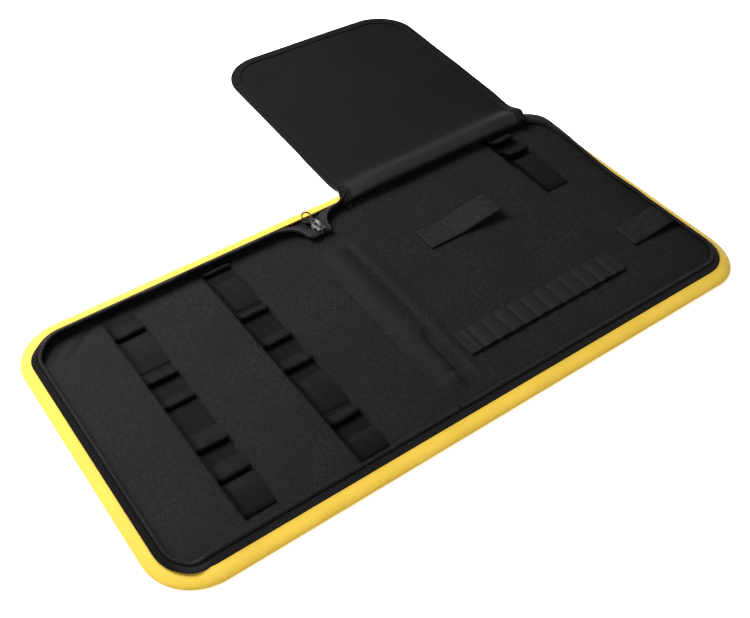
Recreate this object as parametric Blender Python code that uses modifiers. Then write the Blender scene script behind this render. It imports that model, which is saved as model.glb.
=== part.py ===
"""A zip-round tool pouch, lying open and flat on its back, like an open book.

Lengths are in metres. X runs along the open case, from the left half to the right half, with 0 at the
middle of the spine. Y runs from the near edge to the far edge, and Z is up, with 0 on the table.
The case rests on its cover, and the protective flap of the right half is folded back over the far edge.
"""

import math

import bmesh
import bpy
from mathutils import Vector

# The air between two pieces that are sewn or laid on each other
GAP = 0.0003

# The seam is the line where the rim of the cover meets the zip tape, a rounded rectangle
SEAM_HALF_LENGTH = 0.3215
SEAM_HALF_DEPTH = 0.1565
SEAM_RADIUS = 0.0365
SEAM_HEIGHT = 0.0067

# The rim slopes from the seam outwards and down to the table, this far on each side
RIM_LEFT = 0.0145
RIM_RIGHT = 0.0075
RIM_NEAR = 0.0145
RIM_FAR = 0.0125
COVER_WALL = 0.0012
CORNER_STEPS = 8

# Rim profile from the underside to the lip: share of the rim's width out from the seam, share of its height
RIM_PROFILE = (
    ("underside", 0.78, 0.00),
    ("turn", 0.95, 0.09),
    ("outermost", 1.00, 0.28),
    ("shoulder", 0.92, 0.50),
    ("crown", 0.50, 0.84),
    ("lip", 0.00, 1.00),
)

# Lining
LINING_WALL = 0.0018
LINING_TUCK = 0.0012
LINING_ROWS = 14

# Soft ridges of the lining along the spine: where the crest meets the far and the near edge and how far the
# ridge reaches to the left and right of its crest, as shares of SPINE_REACH, and its share of the rise
SPINE_REACH = 0.0260
SPINE_RISE = 0.0042
SPINE_RIDGES = (
    ("main ridge", -0.15, -0.42, 0.85, 0.77, 1.00),
    ("second ridge", 0.73, 0.46, 0.31, 0.23, 0.32),
)
SPINE_STEP = 0.0055

# Where the ridges fade out, as shares of the seam's half depth
RIDGE_FADE_FAR = (0.537, 0.690)
RIDGE_FADE_NEAR = (-0.856, -0.716)

# Zip tapes, which stand on the seam and lean over the case
TAPE_WALL = 0.0009
TAPE_TUCK = 0.0016
TAPE_REACH = 0.0100
TAPE_TURN_OUT = 0.0014
TAPE_TURN_UP = 0.0022
LEAN_IN = (40.0, 26.0)
LEAN_OUT = (108.0, 155.0)
COIL_WIDTH = 0.0042
COIL_HEIGHT = 0.0016
COIL_GAP = 0.0006
ZIP_MEET_NEAR = -0.0330
ZIP_MEET_GAP = 0.0012

# How far the right tape is pushed outwards, 1 under the folded flap and 0 where it stands free:
# at the far corner by angle from the far side, then down the right side by share of its straight half
CORNER_LEAN = ((0, 1.0), (30, 1.0), (45, 0.88), (60, 0.66), (75, 0.52), (90, 0.44))
SIDE_LEAN = ((0.80, 0.36), (0.50, 0.16), (0.17, 0.0))

# Slider, which stands where both tapes end at the far end of the spine
SLIDER_X = -0.0015
SLIDER_Y = 0.1310
SLIDER_LENGTH = 0.0150
SLIDER_WIDTH = 0.0096
SLIDER_PLATE = 0.0012
SLIDER_BASE_HEIGHT = 0.0062
CHANNEL_HEIGHT = 0.0038
POST_WIDTH = 0.0018
POST_LENGTH = 0.0050
BRIDGE_LENGTH = 0.0100
BRIDGE_RISE = 0.0054
BRIDGE_WIDTH = 0.0020
BRIDGE_WALL = 0.0010

# Tapes on their way to the slider, whose mouth faces the case. Each row is a section: place of its free edge
# and of its sewn edge, each as a share of the approach along the wall and a share of the mouth's distance
# from the seam, and their heights as shares of the rise to the standing tape and from the tape's root
APPROACH_LEFT = 0.0440
APPROACH_RIGHT = 0.0290
APPROACH = (
    ("in the slider", 0.00, 0.80, 0.00, 0.21, 0.66, 1.00),
    ("mouth", 0.01, 1.00, 0.00, 0.22, 0.59, 0.98),
    ("first turn", 0.08, 1.07, 0.00, 0.23, 0.52, 0.88),
    ("widest", 0.20, 1.09, 0.02, 0.25, 0.45, 0.72),
    ("second turn", 0.29, 1.04, 0.06, 0.27, 0.37, 0.61),
    ("climb", 0.34, 0.91, 0.16, 0.30, 0.28, 0.49),
    ("middle of the climb", 0.38, 0.74, 0.36, 0.36, 0.19, 0.36),
    ("top of the climb", 0.49, 0.54, 0.62, 0.47, 0.08, 0.20),
    ("meets the wall", 0.68, 0.39, 0.84, 0.66, 0.01, 0.04),
)
SECTION_SHARES = (0.0, 0.14, 0.34, 0.67, 1.0)

# Pull, which hangs in the slider's bridge and lies over the rim
PULL_CROSS_RADIUS = 0.0008
PULL_HALF_WIDTH = 0.0027
PULL_HEAD_LENGTH = 0.0092
PULL_STEM_LENGTH = 0.0058
PULL_STEM_WIDTH = 0.0026
PULL_RING_RADIUS = 0.0047
PULL_LIFT = 0.0025
PULL_PLACE = 0.0022
PULL_YAW = 9.0
PULL_DROP = 14.0

# End of the closed chain, sewn to the spine below the slider
TAIL_WALL = 0.0010
TAIL_LENGTH = 0.0225
TAIL_WIDTH = 0.0140

# Middle of each sewn piece across the case and where it starts or lies along the depth, as shares of the
# seam's half length and half depth
LEFT_BAND_1_PLACE = (-0.7216, 0.9201)
LEFT_BAND_2_PLACE = (-0.3779, 0.9201)
FAR_BAND_PLACE = (0.7900, 0.9393)
ROW_PLACE = (0.0622, -0.5463)
UPPER_STRAP_PLACE = (0.2488, 0.3450)
SIDE_STRAP_PLACE = (0.7963, -0.4153)

# Elastic bands
BAND_WIDTH = 0.0310
ELASTIC_WALL = 0.0010
NOSE_RADIUS = 0.0015
BAY = 0.0380
LOOP_RISE = 0.0046
FAR_LOOP_RISE = 0.0068

# Bays from the far end to the near end: length as a share of BAY, crest as a share of that length from its
# far stitch line, height as a share of the loop's rise, and whether the crest drops straight to the table
LEFT_BAND_1 = (
    ("end tab", 0.20, 0.5, 0.00, False),
    ("loop 1", 0.80, 0.95, 1.00, True),
    ("loop 2", 1.29, 0.36, 0.66, False),
    ("loop 3", 0.86, 0.54, 1.00, True),
    ("loop 4", 1.20, 0.40, 0.80, True),
    ("loop 5", 1.04, 0.80, 1.00, True),
    ("loop 6", 0.82, 0.97, 1.00, True),
    ("loop 7", 1.04, 0.36, 0.66, False),
)
LEFT_BAND_2 = (
    ("loop 1", 0.54, 0.39, 0.85, True),
    ("loop 2", 1.26, 0.25, 0.66, False),
    ("loop 3", 1.02, 0.37, 1.00, True),
    ("loop 4", 0.90, 0.57, 1.00, True),
    ("loop 5", 0.92, 0.63, 1.00, True),
    ("loop 6", 1.24, 0.30, 0.60, False),
    ("loop 7", 0.88, 0.52, 1.00, True),
    ("loop 8", 0.75, 0.30, 0.55, False),
)
FAR_BAND = (
    ("loop 1", 0.56, 0.75, 1.00, True),
    ("loop 2", 0.64, 0.85, 1.00, True),
    ("loop 3", 1.64, 0.24, 0.54, False),
)

# Row of small flat loops along the near edge of the right half
ROW_BAYS = 12
ROW_BAY = 0.0168
ROW_RISE = 0.0015

# Straps of doubled webbing
STRAP_WALL = 0.0016
UPPER_STRAP_LENGTH = 0.0940
UPPER_STRAP_RISE = 0.0080
SIDE_STRAP_RISE = 0.0039

# Strap profiles: share of the length, share of the rise
UPPER_STRAP = ((0.0, 0.0), (0.38, 0.0), (0.43, 0.06), (0.55, 0.26), (0.72, 0.60), (0.88, 0.88), (1.0, 1.0))
SIDE_STRAP = ((0.0, 0.0), (0.17, 0.02), (0.38, 0.30), (0.60, 0.72), (0.80, 0.98), (0.90, 0.90), (1.0, 0.10))

# Flap of the right half, folded back over the far edge. Its middle is at a share of the seam's half length,
# and it lies turned by a few degrees
FLAP_PLACE = 0.5521
FLAP_WIDTH = 0.2600
FLAP_LENGTH = 0.3065
FLAP_WALL = 0.0016
FLAP_RADIUS = 0.0500
FLAP_STEPS = 7
FOLD_REACH = 0.0900
FOLD_SLACK = 0.0010
FLAP_TRIM = 0.0130
FLAP_DRIFT = 0.0055
FLAP_TURN = 2.4
BINDING_WALL = 0.0006
BINDING_GAP = 0.0004
BINDING_WIDTH = 0.0105

# Fold of the flap, from inside the case over the tape to the table: share of the fold's reach, share of the
# crest's height, and share of the trim that makes its right end narrower there
FLAP_FOLD = (
    ("sewn edge", 0.000, 0.147, 1.00),
    ("riser", -0.035, 0.40, 0.88),
    ("bulge", -0.045, 0.62, 0.69),
    ("turn", -0.025, 0.86, 0.46),
    ("crest", 0.030, 1.00, 0.23),
    ("crest end", 0.088, 0.98, 0.08),
    ("slope top", 0.165, 0.80, 0.0),
    ("slope", 0.275, 0.48, 0.0),
    ("slope foot", 0.430, 0.18, 0.0),
    ("landing", 0.630, 0.05, 0.0),
    ("flat", 1.000, 0.0, 0.0),
)

# Levels and places that follow from the sizes above
LINING_TOP = COVER_WALL + GAP + LINING_WALL
CORNER_X = SEAM_HALF_LENGTH - SEAM_RADIUS
CORNER_Y = SEAM_HALF_DEPTH - SEAM_RADIUS
TAPE_ROOT = LINING_TOP + GAP + TAPE_WALL / 2
BAND_LEVEL = LINING_TOP + GAP + ELASTIC_WALL / 2
STRAP_LEVEL = LINING_TOP + GAP + STRAP_WALL / 2
CHANNEL_BOTTOM = SLIDER_BASE_HEIGHT + SLIDER_PLATE
CHANNEL_TOP = CHANNEL_BOTTOM + CHANNEL_HEIGHT
SLIDER_TOP = CHANNEL_TOP + SLIDER_PLATE
TIP_AT_SLIDER = CHANNEL_BOTTOM + GAP + TAPE_WALL / 2
COIL_OVERHANG = 0.20
TIP_OFF_CENTRE = POST_WIDTH / 2 + GAP + COIL_OVERHANG * COIL_WIDTH
PULL_AXIS_HEIGHT = SLIDER_TOP + PULL_LIFT
FLAP_LEVEL = FLAP_WALL / 2 + BINDING_GAP + BINDING_WALL
FLAP_CENTRE = FLAP_PLACE * SEAM_HALF_LENGTH
FLAP_SLANT = math.tan(math.radians(FLAP_TURN))

COLLECTION = bpy.data.collections.new("tool_pouch")


def clear_scene():
    for obj in list(bpy.data.objects):
        bpy.data.objects.remove(obj, do_unlink=True)
    bpy.context.scene.collection.children.link(COLLECTION)


def material(name, colour, roughness, metallic=0.0):
    made = bpy.data.materials.new(name)
    made.use_nodes = True
    shader = made.node_tree.nodes["Principled BSDF"]
    shader.inputs["Base Color"].default_value = (*colour, 1)
    shader.inputs["Roughness"].default_value = roughness
    shader.inputs["Metallic"].default_value = metallic
    return made


def add_object(name, points, faces, finish):
    """One mesh object in the pouch's collection, shaded smooth with sharp folds kept."""
    mesh = bpy.data.meshes.new(name)
    mesh.from_pydata([tuple(point) for point in points], [], faces)
    mesh.materials.append(finish)
    mesh.shade_smooth()
    mesh.set_sharp_from_angle(angle=math.radians(50))
    obj = bpy.data.objects.new(name, mesh)
    COLLECTION.objects.link(obj)
    return obj


def strip_faces(rows, columns, closed):
    """Quads of a grid of points, numbered row by row."""
    across = columns if closed else columns - 1
    return [
        (r * columns + c, r * columns + (c + 1) % columns,
         (r + 1) * columns + (c + 1) % columns, (r + 1) * columns + c)
        for r in range(rows - 1)
        for c in range(across)
    ]


def sheet(name, rows, finish, wall, offset=0.0, closed=False, floor=False):
    """Cloth of even thickness on a grid of points. A floor closes the first row with one face."""
    points = [point for row in rows for point in row]
    faces = strip_faces(len(rows), len(rows[0]), closed)
    if floor:
        faces.append(tuple(reversed(range(len(rows[0])))))
    obj = add_object(name, points, faces, finish)
    solidify = obj.modifiers.new("wall", "SOLIDIFY")
    solidify.thickness = wall
    solidify.offset = offset
    solidify.use_even_offset = True
    solidify.use_quality_normals = True
    return obj


def loft(name, sections, finish):
    """A closed body through sections that have the same number of points."""
    count = len(sections[0])
    points = [point for section in sections for point in section]
    faces = strip_faces(len(sections), count, True)
    faces.append(tuple(reversed(range(count))))
    faces.append(tuple(range(len(points) - count, len(points))))
    obj = add_object(name, points, faces, finish)
    body = bmesh.new()
    body.from_mesh(obj.data)
    bmesh.ops.recalc_face_normals(body, faces=body.faces[:])
    body.to_mesh(obj.data)
    body.free()
    return obj


def ribbon(name, path, side, widths, finish, wall):
    """A band of cloth along a path, as wide to both sides as its list of widths says."""
    rows = [
        [point - side * width / 2, point + side * width / 2]
        for point, width in zip(path, widths, strict=True)
    ]
    return sheet(name, rows, finish, wall)


def box(name, centre, size, finish):
    """A plain block, used as a piece of a union."""
    bpy.ops.mesh.primitive_cube_add(size=1, location=centre)
    obj = bpy.context.object
    obj.name = name
    obj.scale = size
    bpy.ops.object.transform_apply(location=False, rotation=False, scale=True)
    obj.data.materials.append(finish)
    return obj


def take_into(collection, obj):
    for other in list(obj.users_collection):
        other.objects.unlink(obj)
    collection.objects.link(obj)


def smooth_share(value, start, end):
    """0 before start, 1 after end, and a soft step between them."""
    share = min(max((value - start) / (end - start), 0.0), 1.0)
    return share * share * (3 - 2 * share)


def between(table, value):
    """Reads a table of (place, amount) rows at a place between them."""
    for (low, first), (high, second) in zip(table, table[1:]):
        if min(low, high) <= value <= max(low, high):
            return first + (second - first) * (value - low) / (high - low)
    return table[0][1] if abs(value - table[0][0]) < abs(value - table[-1][0]) else table[-1][1]


def placed(place):
    """A place given as shares of the seam's half length and half depth."""
    return place[0] * SEAM_HALF_LENGTH, place[1] * SEAM_HALF_DEPTH


def seam_outline(share):
    """The seam's rounded rectangle, grown towards the outer edge by a share of each side's rim."""
    points = []
    for side_x, side_y, start in ((1, 1, 0), (-1, 1, 90), (-1, -1, 180), (1, -1, 270)):
        reach_x = SEAM_RADIUS + share * (RIM_RIGHT if side_x > 0 else RIM_LEFT)
        reach_y = SEAM_RADIUS + share * (RIM_FAR if side_y > 0 else RIM_NEAR)
        for step in range(CORNER_STEPS + 1):
            angle = math.radians(start + 90 * step / CORNER_STEPS)
            points.append((side_x * CORNER_X + reach_x * math.cos(angle),
                           side_y * CORNER_Y + reach_y * math.sin(angle)))
    return points


def build_cover(finish):
    """The outer cover: a flat back and a rim that turns up and in to the seam."""
    rows = [
        [Vector((x, y, height * SEAM_HEIGHT)) for x, y in seam_outline(share)]
        for _, share, height in RIM_PROFILE
    ]
    return sheet("outer_cover", rows, finish, COVER_WALL, offset=-1.0, closed=True, floor=True)


def spine_height(x, y):
    """How far the loose lining over the spine stands up from the flat halves."""
    along = (y + SEAM_HALF_DEPTH) / (2 * SEAM_HALF_DEPTH)
    depth = y / SEAM_HALF_DEPTH
    fade = (1 - smooth_share(depth, *RIDGE_FADE_FAR)) * smooth_share(depth, *RIDGE_FADE_NEAR)
    height = 0.0
    for _, far_x, near_x, left, right, rise in SPINE_RIDGES:
        away = x / SPINE_REACH - (near_x + (far_x - near_x) * along)
        reach = left if away < 0 else right
        if abs(away) < reach:
            height += rise * SPINE_RISE * fade * (0.5 + 0.5 * math.cos(math.pi * away / reach))
    return height


def lining_columns():
    """Places across the case and the half depth of the lining at each, from the left end to the right."""
    reach = SEAM_RADIUS + LINING_TUCK
    corner = [
        (CORNER_X + reach * math.cos(angle), CORNER_Y + reach * math.sin(angle))
        for angle in (math.radians(90 * step / CORNER_STEPS) for step in range(CORNER_STEPS + 1))
    ]
    left = SPINE_REACH * min(near - reach_left for _, _, near, reach_left, _, _ in SPINE_RIDGES)
    right = SPINE_REACH * max(far + reach_right for _, far, _, _, reach_right, _ in SPINE_RIDGES)
    count = round((right - left) / SPINE_STEP)
    spine = [(left + (right - left) * step / count, CORNER_Y + reach) for step in range(count + 1)]
    return [(-x, y) for x, y in corner] + spine + list(reversed(corner))


def build_lining(finish):
    """The lining, one cloth over both halves, with the soft ridges of the spine."""
    rows = []
    for x, half_depth in lining_columns():
        ys = [half_depth * (2 * row / LINING_ROWS - 1) for row in range(LINING_ROWS + 1)]
        rows.append([Vector((x, y, LINING_TOP + spine_height(x, y))) for y in reversed(ys)])
    return sheet("lining", rows, finish, LINING_WALL, offset=-1.0)


def tape_section(x, y, out, lean):
    """Mid points of the tape's section: out is the direction away from the case, lean is 0 in and 1 out."""
    section = [(TAPE_TUCK, TAPE_ROOT), (0.0, TAPE_ROOT), (-TAPE_TURN_OUT, TAPE_ROOT + TAPE_TURN_UP)]
    for first, last in zip(LEAN_IN, LEAN_OUT):
        angle = math.radians(first + (last - first) * lean)
        grow, height = section[-1]
        section.append((grow - math.cos(angle) * TAPE_REACH / 2, height + math.sin(angle) * TAPE_REACH / 2))
    return [Vector((x + out[0] * grow, y + out[1] * grow, height)) for grow, height in section]


def approach_sections(side, length, lean):
    """Sections of the tape from the slider to where it runs along the wall. side is -1 on the left."""
    sections = []
    wall = tape_section(0.0, SEAM_HALF_DEPTH, (0, 1), lean)[-1]
    mouth_inset = SEAM_HALF_DEPTH - SLIDER_Y + SLIDER_LENGTH / 2
    for _, tip_along, tip_inset, tip_rise, root_along, root_inset, root_rise in APPROACH:
        tip = Vector((SLIDER_X + side * (TIP_OFF_CENTRE + tip_along * length),
                      SEAM_HALF_DEPTH - tip_inset * mouth_inset,
                      TIP_AT_SLIDER + tip_rise * (wall.z - TIP_AT_SLIDER)))
        tip.y += (wall.y - tip.y) * smooth_share(tip_rise, 0.3, 1.1) * lean
        root = Vector((SLIDER_X + side * (TIP_OFF_CENTRE + root_along * length),
                       SEAM_HALF_DEPTH - root_inset * mouth_inset,
                       TAPE_ROOT + root_rise * (TIP_AT_SLIDER - TAPE_ROOT)))
        sections.append([root.lerp(tip, share) for share in SECTION_SHARES])
    return sections


def corner_sections(side_x, side_y, leans, clockwise):
    """Sections of the tape round one corner, from the far or left end of its quarter turn."""
    sections = []
    steps = range(CORNER_STEPS + 1)
    for step in reversed(steps) if clockwise else steps:
        turn = 90 * step / CORNER_STEPS
        out = (side_x * math.cos(math.radians(turn)), side_y * math.sin(math.radians(turn)))
        lean = between(leans, 90 - turn) if leans else 0.0
        sections.append(tape_section(side_x * CORNER_X + SEAM_RADIUS * out[0],
                                     side_y * CORNER_Y + SEAM_RADIUS * out[1], out, lean))
    return sections


def left_tape_sections():
    end_x = ZIP_MEET_NEAR - ZIP_MEET_GAP / 2
    return [
        *approach_sections(-1, APPROACH_LEFT, 0.0),
        tape_section(SLIDER_X - APPROACH_LEFT, SEAM_HALF_DEPTH, (0, 1), 0.0),
        *corner_sections(-1, 1, None, True),
        *corner_sections(-1, -1, None, False),
        tape_section(end_x, -SEAM_HALF_DEPTH, (0, -1), 0.0),
    ]


def halved(sections):
    """The same sections with one more half way between each two."""
    result = [sections[0]]
    for before, after in zip(sections, sections[1:]):
        result += [[first.lerp(last, 0.5) for first, last in zip(before, after)], after]
    return result


def right_tape_sections():
    """The right tape is turned outwards where the flap is folded back over it."""
    start_x = ZIP_MEET_NEAR + ZIP_MEET_GAP / 2
    turned = SLIDER_X + APPROACH_RIGHT
    approach = approach_sections(1, APPROACH_RIGHT, 0.3)
    turning = [
        *approach[4:],
        tape_section(turned, SEAM_HALF_DEPTH, (0, 1), 0.56),
        tape_section(turned * 1.26, SEAM_HALF_DEPTH, (0, 1), 0.82),
        tape_section(turned * 1.60, SEAM_HALF_DEPTH, (0, 1), 1.0),
    ]
    return [
        *approach[:4],
        *halved(turning),
        *corner_sections(1, 1, CORNER_LEAN, True),
        *(tape_section(SEAM_HALF_LENGTH, share * CORNER_Y, (1, 0), lean) for share, lean in SIDE_LEAN),
        *corner_sections(1, -1, None, False),
        tape_section(start_x, -SEAM_HALF_DEPTH, (0, -1), 0.0),
    ]


def coil_section(section, along):
    """The coil's section on the outer face of the tape's edge."""
    inwards = (section[-1] - section[-2]).normalized()
    up = along.cross(inwards).normalized()
    base = TAPE_WALL / 2 + COIL_GAP
    shape = ((-0.86, 0.0), (0.12, 0.0), (COIL_OVERHANG, 0.45), (0.02, 1.0), (-0.72, 1.0), (-0.92, 0.5))
    return [
        section[-1] + inwards * share * COIL_WIDTH + up * (base + rise * COIL_HEIGHT)
        for share, rise in shape
    ]


def build_tape(side, sections, tape_finish, coil_finish):
    """One zip tape and the coil along its free edge."""
    name = "left" if side < 0 else "right"
    rows = [list(section) for section in sections]
    sheet(f"zip_tape_{name}", rows, tape_finish, TAPE_WALL)
    coil = []
    for index, section in enumerate(sections):
        before = sections[max(index - 1, 0)][-1]
        after = sections[min(index + 1, len(sections) - 1)][-1]
        coil.append(coil_section(section, (before - after) * side))
    loft(f"zip_coil_{name}", coil, coil_finish)


def union(target, others):
    """Joins the other objects into the target with exact unions and removes them."""
    for index, other in enumerate(others):
        modifier = target.modifiers.new(f"union_{index}", "BOOLEAN")
        modifier.operation = "UNION"
        modifier.object = other
        with bpy.context.temp_override(object=target, active_object=target):
            bpy.ops.object.modifier_apply(modifier=modifier.name)
        bpy.data.objects.remove(other, do_unlink=True)


def realised(obj):
    """The object with its modifiers taken into its mesh."""
    graph = bpy.context.evaluated_depsgraph_get()
    mesh = bpy.data.meshes.new_from_object(obj.evaluated_get(graph))
    made = bpy.data.objects.new(obj.name + "_solid", mesh)
    made.matrix_world = obj.matrix_world.copy()
    COLLECTION.objects.link(made)
    bpy.data.objects.remove(obj, do_unlink=True)
    return made


def build_slider(finish):
    """The slider: two plates joined by the post between the coils, with a bridge for the pull."""
    centre_z = SLIDER_BASE_HEIGHT + SLIDER_PLATE / 2
    body = box("slider_body", (SLIDER_X, SLIDER_Y, centre_z),
               (SLIDER_WIDTH, SLIDER_LENGTH, SLIDER_PLATE), finish)
    top = box("top_plate", (SLIDER_X, SLIDER_Y, CHANNEL_TOP + SLIDER_PLATE / 2),
              (SLIDER_WIDTH, SLIDER_LENGTH, SLIDER_PLATE), finish)
    post_y = SLIDER_Y - (SLIDER_LENGTH - POST_LENGTH) / 2 + SLIDER_PLATE / 2
    post = box("post", (SLIDER_X, post_y, CHANNEL_BOTTOM + CHANNEL_HEIGHT / 2),
               (POST_WIDTH, POST_LENGTH, CHANNEL_HEIGHT + SLIDER_PLATE), finish)
    arch = ((-0.50, -0.12), (-0.47, 0.45), (-0.30, 0.86), (0.0, 1.0), (0.30, 0.86), (0.47, 0.45),
            (0.50, -0.12))
    path = [
        Vector((SLIDER_X, SLIDER_Y + share * BRIDGE_LENGTH, SLIDER_TOP + rise * BRIDGE_RISE))
        for share, rise in arch
    ]
    widths = [BRIDGE_WIDTH] * len(path)
    bridge = realised(ribbon("bridge", path, Vector((1, 0, 0)), widths, finish, BRIDGE_WALL))
    union(body, [post, top, bridge])
    take_into(COLLECTION, body)
    body.data.set_sharp_from_angle(angle=math.radians(40))


def build_pull(finish):
    """The pull: a wire head round the bridge, a flat stem and a ring. Its origin is on its hinge."""
    cross = PULL_CROSS_RADIUS
    half = PULL_HALF_WIDTH
    head = bpy.data.curves.new("pull_head", "CURVE")
    head.dimensions = "3D"
    head.bevel_depth = cross
    head.bevel_resolution = 2
    corners = ((-half, 0.0), (half, 0.0), (half, 0.62), (0.5 * half, 1.0), (-0.5 * half, 1.0), (-half, 0.62))
    line = head.splines.new("POLY")
    line.points.add(len(corners) - 1)
    line.use_cyclic_u = True
    for point, (x, share) in zip(line.points, corners):
        point.co = (x, share * PULL_HEAD_LENGTH, 0, 1)
    guide = bpy.data.objects.new("pull_head", head)
    COLLECTION.objects.link(guide)
    body = realised(guide)
    ring_y = PULL_HEAD_LENGTH + PULL_STEM_LENGTH + PULL_RING_RADIUS
    stem = box("stem", (0, PULL_HEAD_LENGTH + PULL_STEM_LENGTH / 2, 0),
               (PULL_STEM_WIDTH, PULL_STEM_LENGTH + 1.2 * cross, 1.7 * cross), finish)
    bpy.ops.mesh.primitive_torus_add(major_radius=PULL_RING_RADIUS, minor_radius=cross,
                                     major_segments=20, minor_segments=8, location=(0, ring_y, 0))
    ring = bpy.context.object
    union(body, [stem, ring])
    body.name = "zip_pull"
    body.data.materials.clear()
    body.data.materials.append(finish)
    hinge = bpy.data.objects.new("pull_hinge", None)
    hinge.location = (SLIDER_X, SLIDER_Y + PULL_PLACE, PULL_AXIS_HEIGHT)
    hinge.rotation_euler = (0, 0, math.radians(PULL_YAW))
    COLLECTION.objects.link(hinge)
    body.parent = hinge
    body.rotation_euler = (math.radians(-PULL_DROP), 0, 0)
    take_into(COLLECTION, body)


def build_tail(finish):
    """The sewn end of the closed chain, which runs down from the slider's rear to the seam."""
    start = SLIDER_Y + POST_WIDTH
    high = CHANNEL_BOTTOM + CHANNEL_HEIGHT / 2
    low = LINING_TOP + GAP + TAIL_WALL / 2
    shape = ((0.0, 1.0, 0.42), (0.34, 0.97, 0.44), (0.52, 0.72, 0.60), (0.75, 0.26, 0.84), (1.0, 0.0, 1.0))
    path = [
        Vector((SLIDER_X, start + share * TAIL_LENGTH, low + (high - low) * rise))
        for share, rise, _ in shape
    ]
    widths = [TAIL_WIDTH * wide for _, _, wide in shape]
    ribbon("zip_tail", path, Vector((-1, 0, 0)), widths, finish, TAIL_WALL)


def bay_profile(length, crest, rise, drops):
    """One bay of a band as (run, height), without its last point. Crests that drop have a round nose."""
    if rise == 0:
        return [(0.0, 0.0)]
    top = crest * length
    if not drops:
        return [(0.0, 0.0), (0.45 * top, 0.72 * rise), (top, rise),
                (top + 0.30 * (length - top), 0.72 * rise), (top + 0.75 * (length - top), 0.14 * rise)]
    start = top - NOSE_RADIUS
    points = [(0.0, 0.0), (0.40 * start, 0.52 * rise), (0.75 * start, 0.86 * rise)]
    for angle in (90, 45, 0):
        points.append((start + NOSE_RADIUS * math.cos(math.radians(angle)),
                       rise - NOSE_RADIUS + NOSE_RADIUS * math.sin(math.radians(angle))))
    points.append((top, 0.0))
    return points


def band_profile(bays, unit, rise):
    """The whole band as (run, height) from its first stitch line."""
    points = []
    run = 0.0
    for _, share, crest, height, drops in bays:
        length = share * unit
        points += [(run + x, z) for x, z in bay_profile(length, crest, height * rise, drops)]
        run += length
    return points + [(run, 0.0)]


def build_band(name, place, bays, rise, finish):
    """An elastic band that runs from the far edge towards the near edge."""
    x, start = placed(place)
    path = [Vector((x, start - run, BAND_LEVEL + height)) for run, height in band_profile(bays, BAY, rise)]
    ribbon(name, path, Vector((-1, 0, 0)), [BAND_WIDTH] * len(path), finish, ELASTIC_WALL)


def build_row(finish):
    """The row of small loops: one elastic sewn down at even steps."""
    puff = ((0.0, 0.0), (0.14, 0.72), (0.50, 1.0), (0.86, 0.72))
    start, y = placed(ROW_PLACE)
    path = [
        Vector((start + (bay + share) * ROW_BAY, y, BAND_LEVEL + rise * ROW_RISE))
        for bay in range(ROW_BAYS)
        for share, rise in puff
    ]
    path.append(Vector((start + ROW_BAYS * ROW_BAY, y, BAND_LEVEL)))
    ribbon("small_loop_row", path, Vector((0, -1, 0)), [BAND_WIDTH] * len(path), finish, ELASTIC_WALL)


def build_straps(finish):
    """Two straps of doubled webbing, each sewn down at its left end."""
    x, y = placed(UPPER_STRAP_PLACE)
    path = [
        Vector((x + share * UPPER_STRAP_LENGTH, y, STRAP_LEVEL + rise * UPPER_STRAP_RISE))
        for share, rise in UPPER_STRAP
    ]
    widths = [BAND_WIDTH * (1 + 0.06 * rise) for _, rise in UPPER_STRAP]
    ribbon("upper_strap", path, Vector((0, -1, 0)), widths, finish, STRAP_WALL)
    x, y = placed(SIDE_STRAP_PLACE)
    length = SEAM_HALF_LENGTH - TAPE_TURN_OUT - x - STRAP_WALL
    path = [
        Vector((x + share * length, y, STRAP_LEVEL + rise * SIDE_STRAP_RISE))
        for share, rise in SIDE_STRAP
    ]
    ribbon("side_strap", path, Vector((0, -1, 0)), [BAND_WIDTH] * len(path), finish, STRAP_WALL)


def flap_point(across, along, trim):
    """A point of the flap: across is from its centre line, along from its sewn edge, trim a share."""
    share = along / FOLD_REACH
    return Vector((FLAP_CENTRE + across - trim * FLAP_TRIM * smooth_share(across, 0.0, FLAP_WIDTH / 2)
                   + FLAP_DRIFT * smooth_share(share, 0.1, 0.9) + FLAP_SLANT * max(along, 0.0),
                   flap_start_y() + along - FLAP_SLANT * across * smooth_share(share, 0.2, 1.0), 0.0))


def flap_start_y():
    """The flap's sewn edge stands just inside the tape."""
    return SEAM_HALF_DEPTH - TAPE_TURN_OUT - TAPE_WALL / 2 - 2 * GAP - FLAP_WALL / 2 - BINDING_WALL


def flap_crest():
    """The flap's highest mid point, just above the tape that it turns outwards."""
    tip = tape_section(0.0, SEAM_HALF_DEPTH, (0, 1), 1.0)[-1]
    return tip.z + TAPE_WALL + 2 * GAP + FLAP_LEVEL + FOLD_SLACK


def flap_columns():
    """Places across the flap, and how far the rounded far corners hold each back from the far edge."""
    flat = FLAP_WIDTH / 2 - FLAP_RADIUS
    turns = [math.radians(90 * step / FLAP_STEPS) for step in range(FLAP_STEPS + 1)]
    corner = [(flat + FLAP_RADIUS * math.sin(turn), FLAP_RADIUS * (1 - math.cos(turn))) for turn in turns]
    return [(-x, back) for x, back in reversed(corner)] + corner


def flap_grid():
    """The flap's mid surface, row by row from its sewn edge to its far edge."""
    rise = flap_crest() - FLAP_LEVEL
    rows = []
    for _, reach, height, trim in FLAP_FOLD:
        row = [flap_point(across, reach * FOLD_REACH, trim) for across, _ in flap_columns()]
        for point in row:
            point.z = FLAP_LEVEL + height * rise
        rows.append(row)
    for share in (0.5, 1.0):
        row = []
        for across, back in flap_columns():
            along = FOLD_REACH + share * (FLAP_LENGTH - back - FOLD_REACH)
            row.append(flap_point(across, along, 0.0))
            row[-1].z = FLAP_LEVEL
        rows.append(row)
    return rows


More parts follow.
